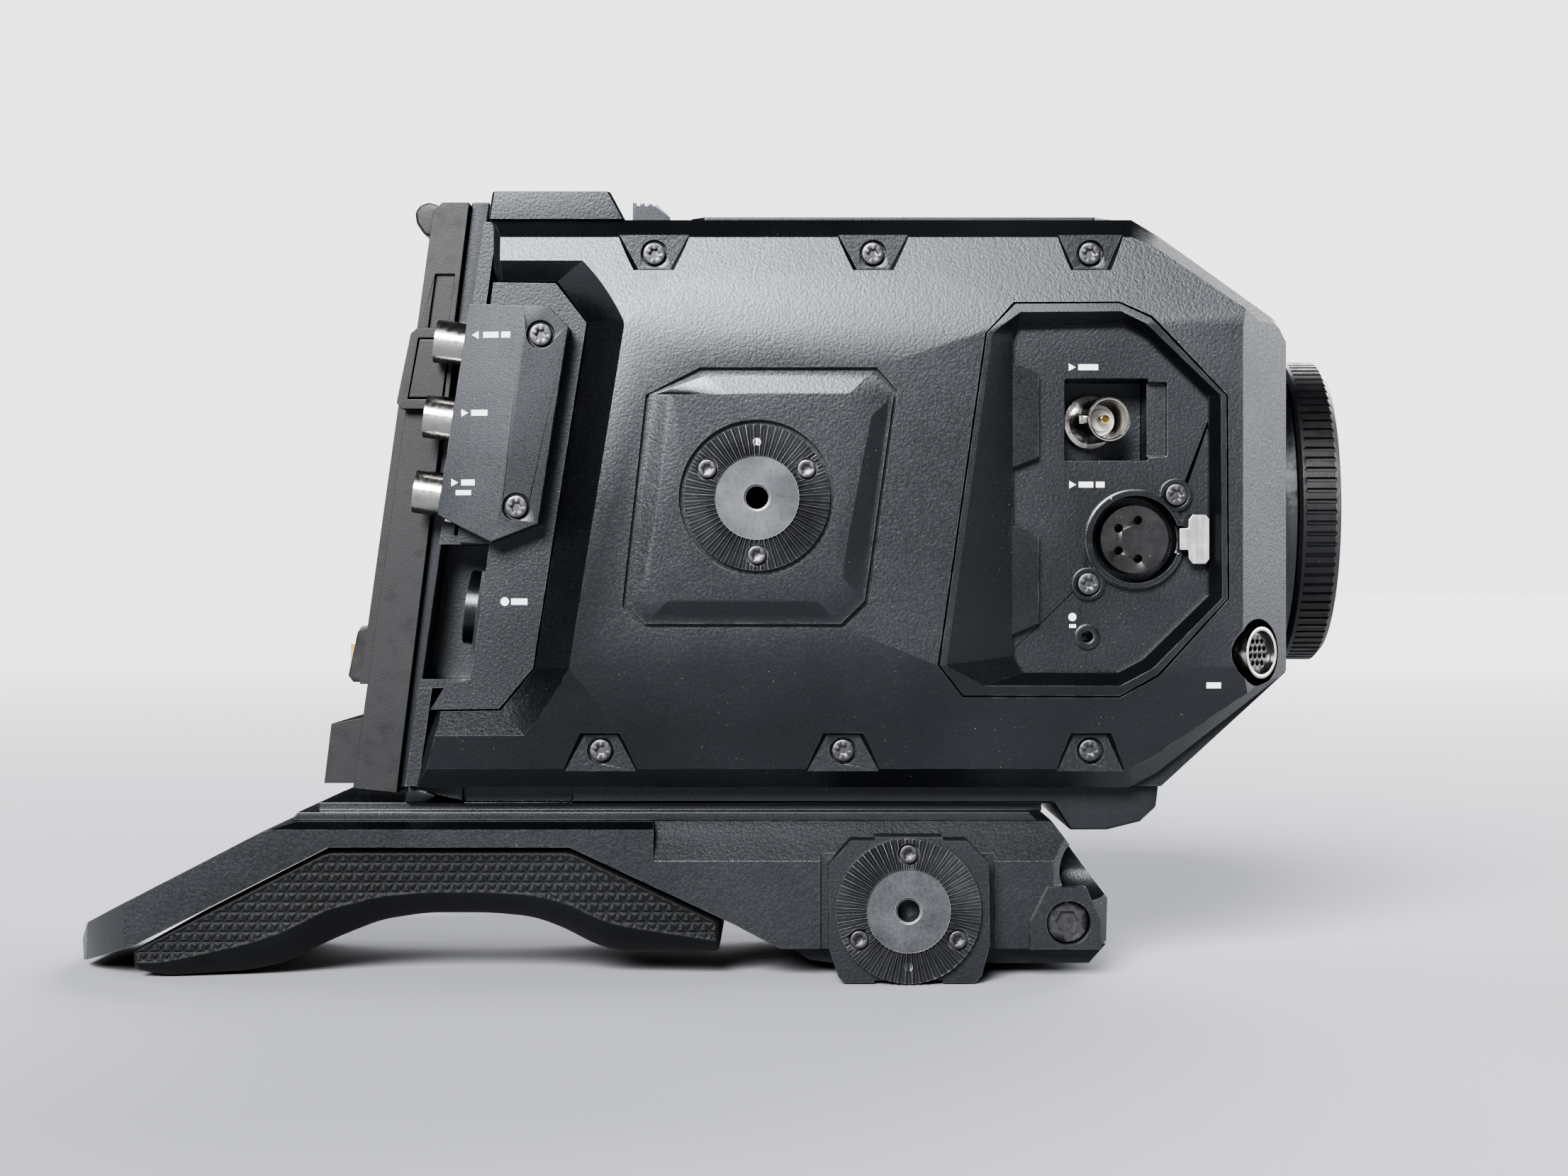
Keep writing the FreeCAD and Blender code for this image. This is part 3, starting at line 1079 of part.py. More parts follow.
def shoulder_base():
    """Main casting: a long arched beam with a flat nose that holds the rods."""
    piece = Piece("shoulder_base")
    half, top, floor, front = d.base_half, d.base_top, d.base_floor, d.base_front
    outline = poly((-108.7, top), (front - 13.5, top), (front, top - 18.2), (front - 0.3, floor),
                   (-0.9, floor), (-10.9, -93.2), (-47.8, -76.0), (-101.6, -76.0), (-144.3, -97.6),
                   (d.base_rear + 1, -104.0), (d.base_rear, -99.4), (-158.8, -94.4), (-132.0, -80.6),
                   (-116.5, -72.6))
    piece.plate("XZ", -1 * half, half, outline)
    # plan view: rounded rear, chamfered nose
    rear = d.base_rear
    for side in (1, -1):
        y = half * side
        edge = y + side
        piece.cut("XY", -60, 60, poly((rear - 1, edge), (rear - 1, 12 * side), (rear, 12 * side),
                                      (rear + 3.4, 22 * side), (rear + 9, 31 * side), (rear + 15.6, y),
                                      (rear + 20, edge)))
        piece.cut("XY", -60, 60, poly((front - 13.5, y), (front + 0.2, 25 * side), (front + 2, 25 * side),
                                      (front + 2, edge), (front - 13.5, edge)))
        # top edge: broad chamfer along the nose, a slim one over the pad
        wide = poly((y, top - 8.6), (y - 5 * side, top), (y - 5 * side, top + 5), (edge, top + 5), (edge, top - 8.6))
        piece.cut("YZ", front + 1, front + 1 + 29, wide)
        slim = poly((y, top - 1.6), (y - 2.6 * side, top), (y - 2.6 * side, top + 5), (edge, top + 5),
                    (edge, top - 1.6))
        piece.cut("YZ", -20, 95, slim)
    # clamp screw bosses and wells, rod bores, rosette seats
    boss = poly((54.6, -92.6), (58.5, -84.6), (front - 6.4, -84.6), (front - 3.2, -92.0),
                (front - 3.0, floor), (54.6, floor))
    reach = half + 1.4
    well = disc(d.clamp_x, d.clamp_z, 4.9)
    piece.plate("XZ", half - 5, reach, boss)
    piece.plate("XZ", -1 * reach, -1 * half + 5, boss)
    piece.cut("XZ", reach, 5.4, well)
    piece.pocket(piece.draw("XZ", -1 * reach, well), 5.4, Reversed=True)
    for side in (1, -1):
        y = d.rod_spacing / 2 * side
        piece.pocket(piece.draw("YZ", front + 1, disc(y, d.rod_z, d.rod_radius + 0.02)), d.rod_depth + 1)
    # shallow seats round both rosette brackets
    x, z = d.low_rosette_x, d.low_rosette_z
    seat = poly((x - 14.0, z + 17.6), (x + 14.2, z + 17.6), (x + 19.4, z + 12.0), (x + 19.6, floor - 1),
                (x - 19.2, floor - 1), (x - 19.2, z + 11.4))
    piece.cut("XZ", half, 1.0, seat)
    piece.pocket(piece.draw("XZ", -1 * half, seat), 1.0, Reversed=True)
    return piece


def clamp_screw(label, side):
    """Hexagon-socket screw that tightens one rod."""
    piece = Piece(label, at=(d.clamp_x, (d.base_half - 2.9) * side, d.clamp_z))
    piece.plate("XZ", -0.9, 0.9, disc(0, 0, 4.6))
    socket = piece.draw("XZ", 0.9 * side, ring_points(0, 0, (2.6,), 6))
    piece.pocket(socket, 1.4, Reversed=side < 0)
    return piece


def shoulder_pad():
    piece = Piece("shoulder_pad")
    half = d.pad_half
    piece.plate("XZ", -1 * half, half,
                poly((-146.0, -99.6), (-101.9, -76.9), (-47.6, -76.9), (-11.0, -94.2), (-14.5, -99.6),
                     (-36.7, -100.2), (-42.0, -98.9), (-50.0, -94.6), (-56.5, -92.2), (-66.0, -91.3),
                     (-80.0, -91.3), (-90.5, -92.9), (-101.6, -97.4), (-112.0, -102.6), (-120.0, -104.4),
                     (-138.5, -105.3), (-145.0, -103.4)))
    return piece


def rosette_brackets():
    """Plates that carry the lower rosettes on both sides of the shoulder base."""
    piece = Piece("rosette_brackets")
    face = d.low_rosette_face - d.rosette_depth
    x, z = d.low_rosette_x, d.low_rosette_z
    outline = poly((x - 12.6, z + 15.3), (x - 7.4, z + 15.3), (x - 7.4, z + 16.1), (x + 7.6, z + 16.1),
                   (x + 7.6, z + 15.3), (x + 12.9, z + 15.3), (x + 17.7, z + 10.4), (x + 18.0, z - 7.4),
                   (x + 16.2, z - 14.3), (x + 14.6, z - 16.0), (x + 7.6, z - 16.0), (x + 7.6, z - 15.4),
                   (x - 7.4, z - 15.4), (x - 7.4, z - 16.0), (x - 14.2, z - 16.0), (x - 15.4, z - 14.6),
                   (x - 17.4, z - 8.8), (x - 17.6, z + 9.8))
    piece.plate("XZ", d.base_half - 1.0, face, outline)
    piece.cut("XZ", face, 6, disc(x, z, 7.05))
    piece.mirror()
    return piece


def wedge_plate():
    """Tripod wedge under the nose with its tapped holes."""
    piece = Piece("wedge_plate")
    low, floor = d.wedge_floor, d.base_floor
    half = d.wedge_half
    piece.plate("XZ", -1 * half - 8, half + 8, poly((0.5, floor), (5.5, low + 0.8), (11.0, low), (68.8, low),
                                                    (72.6, floor)))
    piece.pocket(piece.draw("XY", low, disc(30, 0, d.tap_three_eighths), disc(48, 0, d.tap_quarter)), 3.5,
                 Reversed=True)
    return piece


main_chassis()
right_side_cover()
casing_screws()
rosette_panel()
rosette("side_rosette", d.side_rosette_x, d.side_rosette_z, d.module_face, False, 5.5)
connector_bezel()
front_connector_panel()
bnc("front_bnc", (68.3, 33.0, 18.9), ((0, 0, 1), 282.0), 15.0)
rear_video_pins()
xlr_out_shell()
xlr_out_insert()
xlr_out_tab()
remote_jack()
lens_socket()
rear_connector_frame()
rear_connector_cover()
rear_bncs()
dc_in_socket()
top_plate()
audio_housing()
mic_sockets()
mic_latch("mic_latch_right", -16)
mic_latch("mic_latch_left", 16)
microphone_grille()
lens_mount()
body_cap()
lens_release_button()
insides()
battery_adapter()
battery_plate()
battery_contact_block()
battery_contacts()
battery_release()
battery_lever()
left_side_cover()
monitor()
left_controls()
camera_foot()
foot_plates()
shoulder_base()
clamp_screw("rod_clamp_right", 1)
clamp_screw("rod_clamp_left", -1)
shoulder_pad()
rosette_brackets()
rosette("low_rosettes", d.low_rosette_x, d.low_rosette_z, d.low_rosette_face, True, 4.0).mirror()
rosette_screws()
wedge_plate()
doc.recompute()

problems = []
for thing in doc.Objects:
    if "Invalid" in thing.State or "Error" in thing.State:
        problems.append(f"{thing.Name}: {thing.State}")
for piece in PIECES:
    shape = piece.body.Shape
    if shape.isNull() or not shape.isValid() or not shape.Solids:
        problems.append(f"{piece.body.Label}: bad shape")
if problems:
    print("\n".join(problems))
    raise SystemExit(1)
os.makedirs("parts", exist_ok=True)
for piece in PIECES:
    piece.body.Shape.exportStep(os.path.join("parts", piece.body.Label + ".step"))
print(len(PIECES), "pieces written")
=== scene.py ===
"""Looks of the cinema camera and its shoulder mount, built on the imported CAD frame."""
import json
import math

import bmesh
import bpy
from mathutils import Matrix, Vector
from mathutils.bvhtree import BVHTree


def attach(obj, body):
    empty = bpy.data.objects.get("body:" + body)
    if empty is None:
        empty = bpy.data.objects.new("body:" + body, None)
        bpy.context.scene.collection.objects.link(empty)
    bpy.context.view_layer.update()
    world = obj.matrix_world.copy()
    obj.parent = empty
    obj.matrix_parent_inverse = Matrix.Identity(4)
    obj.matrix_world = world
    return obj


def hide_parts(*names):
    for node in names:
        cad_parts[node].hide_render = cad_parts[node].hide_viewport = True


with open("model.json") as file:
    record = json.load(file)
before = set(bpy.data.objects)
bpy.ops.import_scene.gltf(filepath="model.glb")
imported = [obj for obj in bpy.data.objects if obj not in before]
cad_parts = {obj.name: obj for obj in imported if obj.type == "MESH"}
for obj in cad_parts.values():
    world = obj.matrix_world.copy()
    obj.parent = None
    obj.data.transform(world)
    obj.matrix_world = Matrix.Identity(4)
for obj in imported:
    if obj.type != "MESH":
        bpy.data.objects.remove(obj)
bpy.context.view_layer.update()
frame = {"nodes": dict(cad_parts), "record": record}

nodes = frame["nodes"]
rows = frame["record"]

LENS_X, LENS_Z = 0.01875, 0.1053      # lens plane's reference point in the row frame
MM = 0.001
FOCAL_MM, SENSOR_MM = 65.42, 36.0
VIEW_DISTANCE, VIEW_HEIGHT = 0.673, 0.0871
FLOOR_SIZE = 60.0
SKY_COLOUR, SKY_STRENGTH = (0.90, 0.91, 0.93, 1), 1.6
AMBIENT_COLOUR, AMBIENT_STRENGTH = (0.80, 0.88, 1.0, 1), 0.07
# name, azimuth, elevation, strength and spread; azimuth 0 is behind the camera, positive at the lens end
LIGHTS = [("key", -15, 26, 6.2, 25), ("lens_side", 96, 14, 1.5, 30),
          ("far_side", 160, 24, 3.4, 40), ("rear_end", -125, 22, 0.9, 40)]


def at(x, s, z):
    """Point given in millimetres from the lens axis; s is the depth towards the right-hand side."""
    return Vector((LENS_X + x * MM, -s * MM, LENS_Z + z * MM))


# ---------------------------------------------------------------- camera, floor and light
def make_camera():
    data = bpy.data.cameras.new("camera_view")
    data.lens = FOCAL_MM
    data.sensor_width = SENSOR_MM
    data.clip_start, data.clip_end = 0.01, FLOOR_SIZE
    cam = bpy.data.objects.new("camera_view", data)
    cam.location = (LENS_X, -VIEW_DISTANCE, VIEW_HEIGHT)
    cam.rotation_euler = (math.radians(90), 0, 0)
    bpy.context.collection.objects.link(cam)
    bpy.context.scene.camera = cam


def sun_light(name, azimuth, elevation, strength, spread):
    """Broad soft light from far away; angles in degrees."""
    data = bpy.data.lights.new(name, "SUN")
    data.energy = strength
    data.angle = math.radians(spread)
    light = bpy.data.objects.new(name, data)
    a, e = math.radians(azimuth), math.radians(elevation)
    back = Vector((math.sin(a) * math.cos(e), -math.cos(a) * math.cos(e), math.sin(e)))
    light.rotation_euler = back.to_track_quat("Z", "Y").to_euler()
    bpy.context.collection.objects.link(light)


def make_studio():
    floor = flat_square("studio_floor", FLOOR_SIZE)
    floor.data.materials.append(floor_material())
    world = bpy.data.worlds.new("studio")
    bpy.context.scene.world = world
    world.use_nodes = True
    tree = world.node_tree
    seen = tree.nodes["Background"]
    seen.inputs["Color"].default_value = SKY_COLOUR
    seen.inputs["Strength"].default_value = SKY_STRENGTH
    ambient = tree.nodes.new("ShaderNodeBackground")
    ambient.inputs["Color"].default_value = AMBIENT_COLOUR
    ambient.inputs["Strength"].default_value = AMBIENT_STRENGTH
    rays = tree.nodes.new("ShaderNodeLightPath")
    mix = tree.nodes.new("ShaderNodeMixShader")
    tree.links.new(rays.outputs["Is Camera Ray"], mix.inputs[0])
    tree.links.new(ambient.outputs[0], mix.inputs[1])
    tree.links.new(seen.outputs[0], mix.inputs[2])
    tree.links.new(mix.outputs[0], tree.nodes["World Output"].inputs[0])
    for light in LIGHTS:
        sun_light(*light)
    view = bpy.context.scene.view_settings
    view.view_transform = "AgX"
    view.look = "AgX - High Contrast"


def flat_square(name, size):
    mesh = bpy.data.meshes.new(name)
    half = size / 2
    corners = [(-half, -half, 0), (half, -half, 0), (half, half, 0), (-half, half, 0)]
    mesh.from_pydata(corners, [], [(0, 1, 2, 3)])
    obj = bpy.data.objects.new(name, mesh)
    bpy.context.collection.objects.link(obj)
    return obj


# ---------------------------------------------------------------- materials
class Nodes:
    """Small helper for building a node material in object space."""

    def __init__(self, name):
        self.material = bpy.data.materials.new(name)
        self.material.use_nodes = True
        self.tree = self.material.node_tree
        self.shader = self.tree.nodes["Principled BSDF"]
        self.place = self.add("ShaderNodeTexCoord").outputs["Object"]

    def add(self, kind, **settings):
        node = self.tree.nodes.new(kind)
        for key, value in settings.items():
            setattr(node, key, value)
        return node

    def link(self, start, end):
        self.tree.links.new(start, end)

    def noise(self, scale, detail=3.0, rough=0.5, stretch=None):
        node = self.add("ShaderNodeTexNoise")
        node.inputs["Scale"].default_value = scale
        node.inputs["Detail"].default_value = detail
        node.inputs["Roughness"].default_value = rough
        self.link(self.stretched(stretch), node.inputs["Vector"])
        return node.outputs["Fac"]

    def cells(self, scale):
        node = self.add("ShaderNodeTexVoronoi", feature="F1")
        node.inputs["Scale"].default_value = scale
        self.link(self.place, node.inputs["Vector"])
        return node.outputs["Distance"]

    def stretched(self, stretch):
        if stretch is None:
            return self.place
        node = self.add("ShaderNodeMapping")
        node.inputs["Scale"].default_value = stretch
        self.link(self.place, node.inputs["Vector"])
        return node.outputs["Vector"]

    def ramp(self, value, low, high, start=0.0, end=1.0):
        node = self.add("ShaderNodeMapRange")
        node.inputs["From Min"].default_value = low
        node.inputs["From Max"].default_value = high
        node.inputs["To Min"].default_value = start
        node.inputs["To Max"].default_value = end
        self.link(value, node.inputs["Value"])
        return node.outputs["Result"]

    def maths(self, how, a, b):
        node = self.add("ShaderNodeMath", operation=how)
        for socket, value in zip(node.inputs, (a, b)):
            if isinstance(value, (int, float)):
                socket.default_value = value
            else:
                self.link(value, socket)
        return node.outputs[0]

    def mix(self, amount, a, b):
        node = self.add("ShaderNodeMix", data_type="RGBA")
        self.link(amount, node.inputs["Factor"])
        for socket, value in ((node.inputs[6], a), (node.inputs[7], b)):
            if isinstance(value, (tuple, list)):
                socket.default_value = (*value[:3], 1)
            else:
                self.link(value, socket)
        return node.outputs[2]

    def bump(self, height, distance, strength=1.0, onto=None):
        node = self.add("ShaderNodeBump")
        node.inputs["Strength"].default_value = strength
        node.inputs["Distance"].default_value = distance
        self.link(height, node.inputs["Height"])
        if onto is not None:
            self.link(onto, node.inputs["Normal"])
        return node.outputs["Normal"]

    def set(self, **values):
        for key, value in values.items():
            socket = self.shader.inputs[key.replace("_", " ")]
            if isinstance(value, bpy.types.NodeSocket):
                self.link(value, socket)
            else:
                socket.default_value = (*value, 1) if isinstance(value, tuple) else value
        return self.material


def plain_material(name, colour, rough):
    n = Nodes(name)
    tone = n.mix(n.noise(3.0), tuple(c * 0.985 for c in colour), colour)
    return n.set(Base_Color=tone, Roughness=rough)


def floor_material():
    """Pale paper with painted shade: greyer round the middle, where the object stands, than far away."""
    n = Nodes("floor_paper")
    away = n.add("ShaderNodeVectorMath", operation="LENGTH")
    n.link(n.place, away.inputs[0])
    # Painted shade: the floor is darker near the origin, under and round the object, and fades to pale by 2.6
    # m.
    spread = n.ramp(away.outputs["Value"], 0.3, 2.6)
    return n.set(Base_Color=n.mix(spread, (0.50, 0.505, 0.53), (0.90, 0.905, 0.92)), Roughness=0.95,
                 Specular_IOR_Level=0.1)


def edge_mask(n, radius, low, high):
    """1 on outer edges, from how far a softened normal leans away from the true one; it marks edges worn by
    rubbing, and on the coat also a painted edge highlight.
    """
    soft = n.add("ShaderNodeBevel", samples=4)
    soft.inputs["Radius"].default_value = radius
    true = n.add("ShaderNodeNewGeometry").outputs["Normal"]
    dot = n.add("ShaderNodeVectorMath", operation="DOT_PRODUCT")
    n.link(soft.outputs["Normal"], dot.inputs[0])
    n.link(true, dot.inputs[1])
    return n.ramp(dot.outputs["Value"], low, high, 1.0, 0.0)


def powder_coat(name, colour, rough, grain=1550.0, depth=0.00006, edge_rub_and_sheen=0.35):
    """Fine-grained coat with slow tone changes, dust specks, and pale outer edges that are partly worn by
    rubbing and partly a painted edge highlight.
    """
    n = Nodes(name)
    fine = n.noise(grain, 4.0, 0.62)
    broad = n.noise(14.0, 4.0, 0.6)
    light = tuple(min(1.0, c * 1.28 + 0.004) for c in colour)
    dark = tuple(c * 0.80 for c in colour)
    tone = n.mix(n.ramp(broad, 0.35, 0.68), dark, light)
    tone = n.mix(n.ramp(fine, 0.55, 0.75, 0.0, 0.4), tone, tuple(c * 1.6 + 0.006 for c in colour))
    # Pale edge tone (0.19 grey) is partly worn coat and partly a painted highlight for light caught on the
    # bevels.
    rubbed = n.ramp(n.noise(240.0), 0.42, 0.6, 0, edge_rub_and_sheen)
    edge_rub_and_highlight = n.maths("MULTIPLY", edge_mask(n, 0.0005, 0.80, 0.97), rubbed)
    tone = n.mix(edge_rub_and_highlight, tone, (0.19, 0.195, 0.20))
    dust = n.maths("MULTIPLY", n.ramp(n.noise(2100.0, 2.0, 0.4), 0.735, 0.76),
                   n.ramp(n.noise(55.0, 3.0), 0.5, 0.62, 0.0, 0.5))
    tone = n.mix(dust, tone, (0.30, 0.30, 0.30))
    rough_map = n.maths("ADD", n.ramp(fine, 0.3, 0.7, rough - 0.05, rough + 0.05),
                        n.ramp(broad, 0.3, 0.7, -0.04, 0.05))
    normal = n.bump(n.noise(90.0, 2.0), 0.00003, 0.4)
    return n.set(Base_Color=tone, Roughness=rough_map, Normal=n.bump(fine, depth, 0.9, normal),
                 Specular_IOR_Level=0.70, Specular_Tint=(0.91, 0.95, 1.0))


def moulded(name, colour, rough, grain=1500.0, depth=0.00002, coat=0.0):
    n = Nodes(name)
    pits = n.cells(grain)
    broad = n.noise(35.0, 4.0)
    dark, light = tuple(c * 0.8 for c in colour), tuple(c * 1.3 + 0.002 for c in colour)
    tone = n.mix(n.ramp(broad, 0.3, 0.7), dark, light)
    dust = n.ramp(n.noise(2000.0, 2.0, 0.4), 0.74, 0.77, 0.0, 0.35)
    tone = n.mix(dust, tone, (0.25, 0.25, 0.25))
    return n.set(Base_Color=tone, Roughness=n.ramp(n.noise(300.0), 0.3, 0.7, rough - 0.06, rough + 0.08),
                 Normal=n.bump(pits, depth, 0.7), Coat_Weight=coat, Coat_Roughness=0.15)


def metal(name, colour, rough, streak=(1, 1, 1), tarnish=(0.18, 0.17, 0.16), amount=0.35):
    n = Nodes(name)
    lines = n.noise(900.0, 3.0, 0.5, streak)
    stain = n.ramp(n.noise(260.0, 5.0, 0.65), 0.5, 0.72, 0.0, amount)
    tone = n.mix(stain, colour, tarnish)
    rough_map = n.maths("ADD", n.ramp(lines, 0.3, 0.7, rough - 0.05, rough + 0.07),
                        n.maths("MULTIPLY", stain, 0.35))
    return n.set(Base_Color=tone, Metallic=1.0, Roughness=rough_map, Normal=n.bump(lines, 0.000008, 0.5))


def worn_teeth(name):
    """Dark coated rosette metal, rubbed pale on the crests."""
    n = Nodes(name)
    rub = n.maths("MULTIPLY", edge_mask(n, 0.00025, 0.82, 0.985), n.ramp(n.noise(500.0), 0.3, 0.6, 0.35, 1.0))
    base = n.mix(n.ramp(n.noise(120.0, 4.0), 0.35, 0.7), (0.075, 0.077, 0.084), (0.125, 0.129, 0.137))
    tone = n.mix(rub, base, (0.42, 0.42, 0.41))
    rings = n.noise(1800.0, 3.0)
    return n.set(Base_Color=tone, Metallic=0.75, Roughness=n.ramp(rings, 0.3, 0.7, 0.34, 0.5),
                 Normal=n.bump(rings, 0.00001, 0.6))


def rubber(name):
    n = Nodes(name)
    fine = n.noise(1900.0, 4.0, 0.6)
    broad = n.noise(40.0, 4.0, 0.6)
    tone = n.mix(n.ramp(broad, 0.35, 0.7), (0.0055, 0.006, 0.007), (0.010, 0.0107, 0.012))
    dust = n.ramp(n.noise(2200.0, 3.0, 0.5), 0.68, 0.76, 0.0, 0.25)
    tone = n.mix(dust, tone, (0.16, 0.165, 0.17))
    return n.set(Base_Color=tone, Roughness=n.ramp(fine, 0.3, 0.7, 0.52, 0.66),
                 Normal=n.bump(fine, 0.00002, 0.8),
                 Sheen_Weight=0.03, Sheen_Roughness=0.4, Specular_IOR_Level=0.35)


def board_material():
    n = Nodes("circuit_board")
    tracks = n.ramp(n.cells(350.0), 0.0, 0.5)
    return n.set(Base_Color=n.mix(tracks, (0.02, 0.11, 0.05), (0.05, 0.2, 0.1)), Roughness=0.4)


def glass_material():
    n = Nodes("sensor_glass")
    return n.set(Base_Color=n.mix(n.noise(40.0), (0.05, 0.12, 0.13), (0.10, 0.08, 0.18)), Roughness=0.05,
                 Coat_Weight=1.0, Coat_Roughness=0.02)


def screen_material():
    """Dark glossy window with faint smears."""
    n = Nodes("screen_window")
    smear = n.noise(60.0, 5.0, 0.6, (1, 1, 0.25))
    return n.set(Base_Color=n.mix(n.noise(20.0), (0.006, 0.007, 0.009), (0.012, 0.013, 0.017)),
                 Roughness=n.ramp(smear, 0.35, 0.7, 0.06, 0.2), Coat_Weight=1.0, Coat_Roughness=0.03)


def make_materials():
    return {
        "casing": powder_coat("casing_coat", (0.0055, 0.0060, 0.0075), 0.32),
        "smooth_black": powder_coat("smooth_coat", (0.0050, 0.0055, 0.0068), 0.29, 2600.0, 0.00002, 0.4),
        "rosette_metal": worn_teeth("rosette_metal"),
        "dark_screw": metal("dark_screw", (0.10, 0.10, 0.105), 0.34, amount=0.5, tarnish=(0.03, 0.03, 0.032)),
        "nickel": metal("nickel", (0.46, 0.45, 0.43), 0.22, amount=0.5),
        "gold": metal("gold", (0.86, 0.60, 0.24), 0.2, tarnish=(0.5, 0.32, 0.12)),
        "steel": metal("steel", (0.55, 0.55, 0.55), 0.3, (1, 1, 0.05)),
        "bare_alloy": metal("bare_alloy", (0.62, 0.63, 0.64), 0.38, (0.05, 1, 1)),
        "black_plastic": moulded("black_plastic", (0.008, 0.0084, 0.0095), 0.42, 2600.0, 0.000012),
        "socket_plastic": moulded("socket_plastic", (0.012, 0.012, 0.013), 0.3, 2500.0, 0.000006, 0.3),
        "pad_rubber": rubber("pad_rubber"),
        "screen": screen_material(),
        "sensor_cover": glass_material(),
        "board": board_material(),
        "mark": plain_material("mark_paint", (0.78, 0.79, 0.80), 0.55),
        "insulator": moulded("insulator", (0.62, 0.60, 0.55), 0.4, 2500.0, 0.000005),
    }


# ---------------------------------------------------------------- CAD nodes
NO_BEVEL = {"circuit_boards", "heat_sink", "fan_rotor", "sensor_glass"}
BEVEL_MM = {"low_rosettes": 0.06, "side_rosette": 0.06, "rosette_screws": 0.1, "casing_screws": 0.12,
            "front_bnc": 0.1, "rear_bncs": 0.1, "body_cap": 0.1, "microphone_grille": 0.15,
            "battery_contacts": 0.05, "rear_video_pins": 0.05, "monitor_glass": 0.1, "rod_clamp_right": 0.15,
            "rod_clamp_left": 0.15, "audio_knob_1": 0.15, "audio_knob_2": 0.15, "mic_sockets": 0.12,
            "shoulder_base": 0.7, "battery_plate": 0.6, "audio_housing": 0.6, "camera_foot": 0.5,
            "rosette_brackets": 0.4, "rear_connector_cover": 0.45, "right_side_cover": 0.4,
            "left_side_cover": 0.4, "monitor_shell": 0.6, "main_chassis": 0.4, "rosette_panel": 0.35,
            "battery_lever": 0.6}


def finish_node(name, obj, material):
    obj.data.materials.clear()
    obj.data.materials.append(material)
    weld = obj.modifiers.new("weld", "WELD")
    weld.merge_threshold = 1e-5
    if name not in NO_BEVEL:
        bevel = obj.modifiers.new("bevel", "BEVEL")
        bevel.width = BEVEL_MM.get(name, 0.25) * MM
        bevel.segments = 3 if bevel.width > 0.0003 else 2
        bevel.limit_method = "ANGLE"
        bevel.angle_limit = math.radians(22)
        bevel.harden_normals = False
        bevel.miter_outer = "MITER_ARC"
    shade = obj.modifiers.new("normals", "WEIGHTED_NORMAL")
    shade.weight = 60
    shade.keep_sharp = True
    for face in obj.data.polygons:
        face.use_smooth = True


# ---------------------------------------------------------------- added pieces
def add_mesh(name, verts, faces, material, body="camera", smooth=True):
    mesh = bpy.data.meshes.new(name)
    mesh.from_pydata([tuple(v) for v in verts], [], faces)
    mesh.validate()
    for face in mesh.polygons:
        face.use_smooth = smooth
    mesh.materials.append(material)
    obj = bpy.data.objects.new(name, mesh)
    bpy.context.collection.objects.link(obj)
    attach(obj, body)
    return obj


def face_outwards(obj):
    clean = bmesh.new()
    clean.from_mesh(obj.data)
    bmesh.ops.recalc_face_normals(clean, faces=clean.faces)
    clean.to_mesh(obj.data)
    clean.free()


def lathe(name, base, axis, profile, material, body="camera", steps=48):
    """Solid of revolution; profile is (radius, height) in millimetres along the axis from the base."""
    turn = Vector(axis).to_track_quat("Z", "X").to_matrix()
    verts, faces = [], []
    for radius, height in profile:
        for i in range(steps):
            a = 2 * math.pi * i / steps
            verts.append(base + turn @ Vector((radius * math.cos(a), radius * math.sin(a), height)) * MM)
    for k in range(len(profile) - 1):
        for i in range(steps):
            j = (i + 1) % steps
            faces.append((k * steps + i, k * steps + j, (k + 1) * steps + j, (k + 1) * steps + i))
    faces.append(tuple(reversed(range(steps))))
    faces.append(tuple(range((len(profile) - 1) * steps, len(profile) * steps)))
    obj = add_mesh(name, verts, faces, material, body)
    bevel = obj.modifiers.new("bevel", "BEVEL")
    bevel.width, bevel.segments, bevel.angle_limit = 0.00008, 2, math.radians(35)
    bevel.limit_method = "ANGLE"
    return obj


class Surface:
    """Finds the right-hand side's skin, so that paint lies on it."""

    def __init__(self, *names):
        depsgraph = bpy.context.evaluated_depsgraph_get()
        self.trees = [BVHTree.FromObject(nodes[name], depsgraph) for name in names]

    def drop(self, x, z, proud, side):
        start = at(x, 90 * side, z)
        toward = Vector((0, side, 0))
        hits = [tree.ray_cast(start, toward)[0] for tree in self.trees]
        hits = [h for h in hits if h is not None]
        nearest = min(hits, key=lambda h: (h - start).length)
        return nearest - toward * proud * MM


def mark(name, surface, shapes, material, side=1, body="camera"):
    """Thin painted shapes; each is a list of (x, z) corners in millimetres."""
    verts, faces = [], []
    for shape in shapes:
        first = len(verts)
        verts += [surface.drop(x, z, 0.025, side) for x, z in shape]
        verts += [surface.drop(x, z, -0.05, side) for x, z in shape]
        count = len(shape)
        faces.append(tuple(range(first, first + count)))
        faces.append(tuple(reversed(range(first + count, first + 2 * count))))
        for i in range(count):
            j = (i + 1) % count
            faces.append((first + i, first + j, first + count + j, first + count + i))
    obj = add_mesh(name, verts, faces, material, body, False)
    face_outwards(obj)
    return obj


def dash(x, z, width, height=1.3):
    low, high = z - height / 2, z + height / 2
    return [(x, low), (x + width, low), (x + width, high), (x, high)]


def arrow(x, z, way, height=1.7):
    half = height / 2
    return [(x, z - half), (x + way * height * 0.9, z), (x, z + half)][::way]


def dot(x, z, radius, count=20):
    return [(x + radius * math.cos(2 * math.pi * i / count), z + radius * math.sin(2 * math.pi * i / count))
            for i in range(count)]


materials = make_materials()


